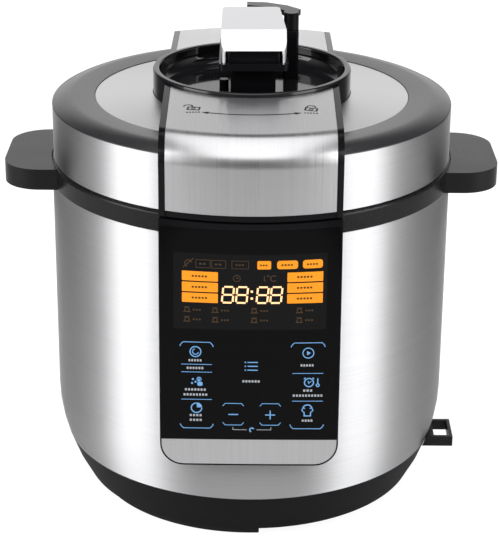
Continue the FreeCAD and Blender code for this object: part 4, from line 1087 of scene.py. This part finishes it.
@dataclass
class Panel:
    """Control panel: housing, gloss overlay with its screen and touch marks, and steel strip."""

    half: float = 60.5
    top: float = 250.0
    corner: float = 2.0

    @staticmethod
    def face(point: Vector) -> Vector:
        """Lay a flat point on the bowed front.

        Args:
            point: (x, depth, z), where depth is how far it stands back.

        Returns:
            Its place.
        """
        share = max(0.0, (point.z - GLASS_FOOT) / BOW_RISE)
        bend = ((0.00214971 * share + 0.00361726) * share + 0.00018024) * share + 0.00034097
        radius = 1.0 / bend
        sag = radius - math.sqrt(radius * radius - point.x * point.x)
        return Vector((point.x, FRONT + sag + point.y, point.z))

    def build(self) -> None:
        """Make the panel and everything printed on it."""
        Piece.carried("panel_housing", "panel_frame").softened(0.45).finished(
            BLACK_SHINE, "housing", "panel_housing")
        half, foot, corner = self.half, GLASS_FOOT, self.corner
        self.plate("panel_glass", [
            (corner - half, foot), (half - corner, foot, corner), (half, foot + corner),
            (half, self.top), (-half, self.top), (-half, foot + corner, corner)], 1.2,
            0.3).finished(PANEL_GLASS, "housing", "panel_overlay")
        self.plate("steel_strip", [(-45, 77), (45, 77, 15.5), (half, 92.5), (half, foot - 1),
                                   (-half, foot - 1), (-half, 92.5, 15.5)], 0.8, 0.15).finished(
            BAND_STEEL, "housing", "panel_strip")
        self.screen()
        self.keys()
        for node, finish in (("display_module", PART), ("control_board", BOARD)):
            Piece.carried(node, f"{node}_piece").softened(0.3).finished(finish, "housing", node)

    def plate(self, name: str, outline: Outline, thickness: float, edge: float) -> Piece:
        """Make a thin plate that follows the bowed front.

        Args:
            name: its name.
            outline: its outline across x and z.
            thickness: its thickness.
            edge: how far its edges are rounded.

        Returns:
            The plate.
        """
        plate = Piece.drawn(name, [Vector((a, 0.0, b)) for a, b in traced(outline)], filled=True)
        low, high = min(b for _, b, *_ in outline), max(b for _, b, *_ in outline)
        plate.scored(0, steps_between(-self.half, self.half, 2.6))
        plate.scored(2, steps_between(low, high, 5.0))
        plate.moved(self.face)
        plate.edit()
        bpy.ops.mesh.normals_make_consistent(inside=False)
        bpy.ops.object.mode_set(mode="OBJECT")
        if sum(face.normal.y for face in plate.made.data.polygons) > 0:
            plate.edit()
            bpy.ops.mesh.flip_normals()
            bpy.ops.object.mode_set(mode="OBJECT")
        plate.modified("SOLIDIFY", thickness=thickness * MM, offset=-1.0)
        return plate.softened(edge, 2, 50.0)

    def screen(self) -> None:
        """Make the display: its window, lit fields, digits and unlit marks."""
        window = Drawing("screen_window", Mark.SCREEN, -0.03)
        window.fill(-51.5, 51.5, 178.6, 232.9, 1.0)
        lit = Drawing("lit_fields", Mark.AMBER, -0.07)
        dark = Drawing("field_print", Mark.DARK, -0.1)
        for x0, x1, corner in ((4.6, 13.8, 0.9), (17.8, 31.8, 1.8), (35.0, 48.4, 1.8)):
            lit.fill(x0, x1, 222.6, 228.6, corner)
            dark.words((x0 + x1) / 2, 225.5, (x1 - x0) * 0.6, 1.3)
        for x0, x1 in ((-45.8, -21.6), (24.8, 48.8)):
            for z0 in (213.3, 205.6, 197.9):
                lit.fill(x0, x1, z0, z0 + 6.8, 0.4)
                dark.words((x0 + x1) / 2, z0 + 3.4, 11.0, 1.4)
        digits = Drawing("digits", Mark.PEACH, -0.08)
        for left in (-19.0, -9.6, 4.2, 13.4):
            self.digit(digits, left, 198.4, 7.2, 11.4)
        for z in (201.6, 206.6):
            digits.fill(0.3, 1.9, z - 0.8, z + 0.8, 0.3)
        dim = Drawing("unlit_marks", Mark.DIM, -0.07)
        for x0, x1 in ((-36.3, -26.9), (-25.8, -16.4), (-12.3, -1.2)):
            dim.line((x0, 222.9), (x1, 222.9), (x1, 228.4), (x0, 228.4), (x0, 222.9), width=0.4)
            dim.words((x0 + x1) / 2, 225.6, (x1 - x0) * 0.55, 1.2)
        dim.ring(-41.4, 225.4, 2.4, 20, 230, 0.6)
        dim.line((-45.0, 222.4), (-38.0, 229.2), width=0.6)
        dim.ring(-9.0, 216.0, 2.3)
        dim.line((-9.0, 217.4), (-9.0, 216.0), (-7.8, 216.0))
        dim.ring(12.0, 217.8, 0.7, width=0.4)
        dim.ring(15.6, 216.0, 2.0, 40, 280, 0.7)
        dim.line((9.4, 218.0), (9.4, 214.4), (10.4, 214.2), width=0.6)
        for x in (-42.5, -23.5, 2.8, 33.2):
            for z in (192.6, 185.6):
                dim.ring(x, z, 1.5, width=0.6)
                dim.line((x - 2.4, z - 1.5), (x + 2.4, z - 1.5), width=0.7)
                dim.line((x - 2.0, z + 1.9), (x + 2.0, z + 1.9), width=0.5)
                dim.words(x + 7.0, z, 6.0, 1.2)
        for drawing in (window, lit, dark, digits, dim):
            drawing.laid(self.face, "housing")

    @staticmethod
    def digit(drawing: Drawing, x: float, z: float, width: float, height: float) -> None:
        """Add an eight of seven sloping segments.

        Args:
            drawing: where it goes.
            x: its left side.
            z: its bottom.
            width: its width.
            height: its height.
        """
        lean, gap, middle = 0.09, 0.65, z + height / 2

        def spot(a: float, b: float) -> tuple[float, float]:
            """Give a point with the slope of the digits."""
            return a + (b - z) * lean, b

        for level in (z, middle, z + height):
            drawing.line(spot(x + gap, level), spot(x + width - gap, level), width=1.25)
        for low, high in ((z, middle), (middle, z + height)):
            for side in (x, x + width):
                drawing.line(spot(side, low + gap), spot(side, high - gap), width=1.25)

    def keys(self) -> None:
        """Make the touch marks under the display, printed in inks that carry a painted glow."""
        blue = Drawing("touch_marks", Mark.BLUE, -0.04)
        pale = Drawing("captions", Mark.PALE, -0.04)
        for x0, x1 in ((-47.4, -24.7), (28.0, 51.2)):
            for line_z, end_z in ((169.0, 165.8), (104.6, 107.8)):
                blue.line((x0, end_z), (x0 + 0.6, (line_z + end_z) / 2), (x0 + 2.2, line_z),
                          (x1 - 2.2, line_z), (x1 - 0.6, (line_z + end_z) / 2), (x1, end_z),
                          width=0.55)
        for x0, x1, levels in ((-46.6, -25.6, (152.6, 146.9, 126.4)),
                               (29.2, 50.2, (146.4, 125.6))):
            for z in levels:
                blue.line((x0, z), (x1, z), width=0.45)
        for x, z, radius, start, sweep, width in (
                (-36.8, 162.0, 3.7, 0, 360, 0.75), (-36.8, 162.0, 2.0, 100, 250, 0.6),
                (-34.4, 141.6, 1.4, 0, 360, 0.6), (-36.2, 120.0, 3.6, 90, 270, 0.8),
                (39.8, 161.5, 3.7, 0, 360, 0.7), (40.6, 139.6, 3.1, 0, 360, 0.8),
                (46.6, 137.6, 1.0, 0, 360, 0.8), (39.9, 119.6, 3.2, 0, 180, 0.8),
                (37.6, 118.9, 1.4, 60, 200, 0.7), (42.2, 118.9, 1.4, -80, 200, 0.7),
                (1.9, 103.4, 1.5, 30, 220, 0.9)):
            blue.ring(x, z, radius, start, sweep, width)
        blue.fill(-35.6, -32.0, 136.6, 139.6, 0.9)
        blue.fill(-35.0, -33.9, 138.6, 142.2, 0.5)
        for x, z in ((-38.6, 141.6), (-39.2, 138.6), (-36.8, 139.6)):
            blue.fill(x - 0.7, x + 0.7, z - 0.7, z + 0.7, 0.5)
        blue.fills += [[(-36.0, 120.3), (-32.3, 120.3, 3.7), (-36.0, 124.0)],
                       [(38.9, 159.9), (41.6, 161.5), (38.9, 163.1)]]
        for z in (154.6, 151.7, 148.8):
            blue.line((-1.4, z), (5.6, z), width=0.75)
            blue.fill(-3.4, -2.4, z - 0.5, z + 0.5, 0.3)
        for x0, x1 in ((-18.2, -3.8), (7.2, 21.6)):
            for line_z, end_z in ((123.6, 121.6), (107.2, 109.2)):
                blue.line((x0, end_z), (x0 + 1.6, line_z), (x1 - 1.6, line_z), (x1, end_z))
        for width, *points in (
                (0.55, (40.0, 140.9), (40.4, 139.0), (42.2, 140.6)),
                (0.9, (38.2, 143.2), (37.2, 142.2)), (0.9, (43.0, 143.2), (44.0, 142.2)),
                (0.8, (46.6, 142.8), (46.6, 138.6)),
                (0.8, (37.6, 117.6), (37.8, 114.4), (42.0, 114.4), (42.2, 117.6)),
                (0.8, (-14.4, 115.2), (-7.6, 115.2)), (0.8, (11.0, 115.0), (17.8, 115.0)),
                (0.8, (14.4, 111.6), (14.4, 118.4))):
            blue.line(*points, width=width)
        for x0, x1 in ((-11.2, -1.6), (15.0, 5.2)):
            pale.line((x0, 105.6), (x0, 103.6), (x1, 103.6), width=0.4)
        for x, z, length in ((-36.8, 155.6, 9.5), (-36.8, 149.9, 12), (-36.6, 133.8, 15),
                             (-36.6, 130.0, 17), (-36.4, 114.4, 9), (-36.4, 110.8, 9),
                             (1.4, 140.4, 12.5), (39.4, 152.4, 9.5), (40.2, 133.6, 7),
                             (40.2, 129.8, 21), (40.2, 110.8, 8)):
            pale.words(x, z, length, 1.7)
        for drawing in (blue, pale):
            drawing.laid(self.face, "housing")


@dataclass
class StrapMarks:
    """The turning arrow and the open and shut locks printed on the front of the strap."""

    arrow: float = 105.0
    barb: float = 2.2

    def build(self) -> None:
        """Make the marks."""
        print_ = Drawing("strap_marks", Mark.BLACK, 0.04)
        print_.line(*[self.spot(self.arrow, turn) for turn in range(-17, 18)], width=1.5)
        for side in (-1, 1):
            print_.fills.append([self.spot(self.arrow, 19.0 * side),
                                 self.spot(self.arrow - self.barb, 16.2 * side),
                                 self.spot(self.arrow + self.barb, 16.2 * side)])
            x, y = 40.0 * side, -91.4
            print_.line((x - 3.8, y - 2.4), (x + 4.0, y - 3.8), (x + 4.8, y + 1.2),
                        (x - 3.0, y + 2.6), (x - 3.8, y - 2.4), width=1.2)
            print_.ring(x + (0.6 if side > 0 else -3.4), y + 3.6, 3.0, -10, 190, 1.2)
            print_.ring(x + 0.4, y - 0.6, 1.2, width=0.8)
            print_.words(x + 0.6, y - 7.8, 10.0, 1.8)
        print_.laid(self.top, "lid")

    @staticmethod
    def spot(radius: float, turn: float) -> tuple[float, float]:
        """Give the point at a radius, turned by degrees from the front."""
        return radius * math.sin(math.radians(turn)), -radius * math.cos(math.radians(turn))

    @staticmethod
    def top(point: Vector) -> Vector:
        """Lay a flat point on the top of the strap.

        Args:
            point: (x, lift, y), where lift is how far it stands up.

        Returns:
            Its place.
        """
        radius = math.hypot(point.x, point.z)
        rise = 316 - (radius - 72) * 2 / 28 if radius < 100 else (
            314 - (radius - 100) * 2.594 / 38.825)
        return Vector((point.x, point.z, rise + point.y))


# ---------------------------------------------------------------- back and insides

@dataclass
class Back:
    """Hinge, power inlet and condensate cup."""

    def build(self) -> None:
        """Make every piece at the back."""
        for node, finish, body in (
                ("hinge_block", BLACK_SATIN, "housing"), ("hinge_pin", STEEL, "housing"),
                ("hinge_springs", STEEL, "housing"), ("power_inlet", BLACK_SATIN, "housing"),
                ("inlet_pins", BRASS, "housing"), ("cup_bracket", BLACK_SATIN, "housing"),
                ("drain_spout", BLACK_SATIN, "housing"),
                ("condensate_cup", CLEAR, "condensate_cup")):
            piece = Piece.carried(node, f"{node}_piece")
            if node != "hinge_springs":
                piece.softened(0.35)
            piece.finished(finish, body, node)


@dataclass
class Insides:
    """Pots, heater, sensor and electronics inside the body."""

    def build(self) -> None:
        """Make every piece inside the body."""
        for node, finish in (
                ("outer_pot", ALUMINIUM), ("inner_pot", NON_STICK), ("heating_plate", ALUMINIUM),
                ("temperature_sensor", ALUMINIUM), ("sensor_bracket", STEEL),
                ("sensor_spring", STEEL), ("pot_post_1", STEEL), ("pot_post_2", STEEL),
                ("pot_post_3", STEEL), ("power_board", BOARD), ("relay", PART),
                ("transformer", PART), ("terminal_block", PART), ("thermal_fuse", PART),
                ("pressure_switch", PART)):
            piece = Piece.carried(node, f"{node}_piece")
            if node != "sensor_spring":
                piece.softened(0.3)
            piece.finished(finish, "housing", node)


# ---------------------------------------------------------------- studio

@dataclass
class Studio:
    """Floor, light and camera."""

    distance: float = 1.305
    height: float = 0.68085

    def build(self) -> None:
        """Set the stage."""
        self.floor()
        self.sky()
        for name, where, aim, size, power, spread in (
                ("key_left", (-1.35, -0.60, 0.60), (0, 0, 0.15), (0.85, 1.1), 13.0, WIDE),
                ("key_right", (1.30, -0.70, 0.60), (0, 0, 0.15), (0.8, 1.1), 11.5, WIDE),
                ("top", (0.0, -0.40, 1.30), (0, -0.08, 0.2), (1.0, 2.2), 10.0, WIDE),
                ("floor_wash", (0.0, 0.95, 1.1), (0, 1.05, 0), (0.6, 2.0), 6.0, 80.0)):
            self.lamp(name, Vector(where), Vector(aim), size, power, spread)
        self.camera()

    @staticmethod
    def floor() -> None:
        """Make the pale floor, which looks whiter than the light it gives back."""
        Piece.clear()
        bpy.ops.mesh.primitive_grid_add(x_subdivisions=8, y_subdivisions=8, size=14.0)
        floor = Piece(bpy.context.object, "floor")
        graph = Graph(bpy.data.materials.new("floor_paper"))
        paper = graph.noise([3.0] * 3)
        sheet = graph.node("ShaderNodeBsdfPrincipled", None, {
            "Base Color": graph.mix(paper, (0.60, 0.60, 0.60), (0.63, 0.63, 0.63)),
            "Roughness": 0.9})
        white = graph.node("ShaderNodeEmission", None, {"Color": (1, 1, 1, 1), "Strength": 1.3})
        seen = Value(graph, graph.node("ShaderNodeLightPath").outputs["Is Camera Ray"])
        both = graph.node("ShaderNodeMixShader", None, {
            0: seen * 0.72, 1: sheet.outputs[0], 2: white.outputs[0]})
        graph.node("ShaderNodeOutputMaterial", None, {"Surface": both.outputs[0]})
        floor.made.data.materials.append(graph.owner)
        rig.stage(floor.made)

    @staticmethod
    def sky() -> None:
        """Set the light that comes from all round, brighter at the sides than in front."""
        world = bpy.data.worlds.new("studio_light")
        bpy.context.scene.world = world
        graph = Graph(world)
        way = graph.node("ShaderNodeTexCoord").outputs["Generated"]
        parts = graph.node("ShaderNodeSeparateXYZ", None, {0: way})
        ahead, up = Value(graph, parts.outputs[1]), Value(graph, parts.outputs[2])
        tones = ((0.0, 0.06), (0.05, 0.28), (0.165, 0.7), (0.41, 0.8), (0.54, 0.5), (0.62, 0.28),
                 (0.70, 0.10), (0.78, 0.04), (0.87, 0.05), (0.94, 0.85), (1.0, 1.15))
        ramp = graph.node("ShaderNodeValToRGB", {"stops": [
            (position, (tone, tone, tone)) for position, tone in tones]}, {0: ahead * 0.5 + 0.5})
        fall = graph.node("ShaderNodeMapRange", {"interpolation_type": "SMOOTHSTEP"},
                          {0: up, 1: 0.35, 2: 0.95, 3: 1.0, 4: 0.25})
        back = graph.node("ShaderNodeBackground", None,
                          {"Color": ramp.outputs[0], "Strength": fall.outputs[0]})
        graph.node("ShaderNodeOutputWorld", None, {"Surface": back.outputs[0]})

    @staticmethod
    def lamp(name: str, where: Vector, aim: Vector, size: tuple[float, float], power: float,
             spread: float) -> None:
        """Hang a soft lamp; one with a narrowed beam doesn't show in reflections.

        Args:
            name: the lamp's name.
            where: its place in metres.
            aim: the point it faces.
            size: its width and height.
            power: its power in watts.
            spread: how wide its beam is, in degrees.
        """
        data = bpy.data.lights.new(name, "AREA")
        data.shape = "RECTANGLE"
        data.size, data.size_y = size
        data.energy = power
        data.spread = math.radians(spread)
        lamp = bpy.data.objects.new(name, data)
        lamp.visible_glossy = spread == WIDE
        bpy.context.scene.collection.objects.link(lamp)
        lamp.location = where
        lamp.rotation_euler = (aim - where).to_track_quat("-Z", "Y").to_euler()

    def camera(self) -> None:
        """Place the camera."""
        data = bpy.data.cameras.new("camera")
        data.lens, data.sensor_width = 123.77, 36.0
        data.shift_x = -0.0016
        camera = bpy.data.objects.new("camera", data)
        bpy.context.scene.collection.objects.link(camera)
        turn = Matrix.Rotation(math.radians(68.213), 4, "X") @ Matrix.Rotation(
            math.radians(0.457), 4, "Z")
        camera.matrix_world = Matrix.Translation((0.0, -self.distance, self.height)) @ turn
        bpy.context.scene.camera = camera
        bpy.context.scene.view_settings.view_transform = "Standard"


def main() -> None:
    """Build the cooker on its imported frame."""
    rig.load()
    packed = [list(corner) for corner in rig.bounds()]
    for assembly in (Body(), Lid(), Controls(), Panel(), StrapMarks(), Back(), Insides(),
                     Studio()):
        log.info("-- %s", type(assembly).__name__)
        assembly.build()
    with open("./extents.json", "w", encoding="utf-8") as file:
        json.dump({"cad": packed, "visual": [list(corner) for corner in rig.bounds()]}, file)


if __name__ == "__main__":
    main()
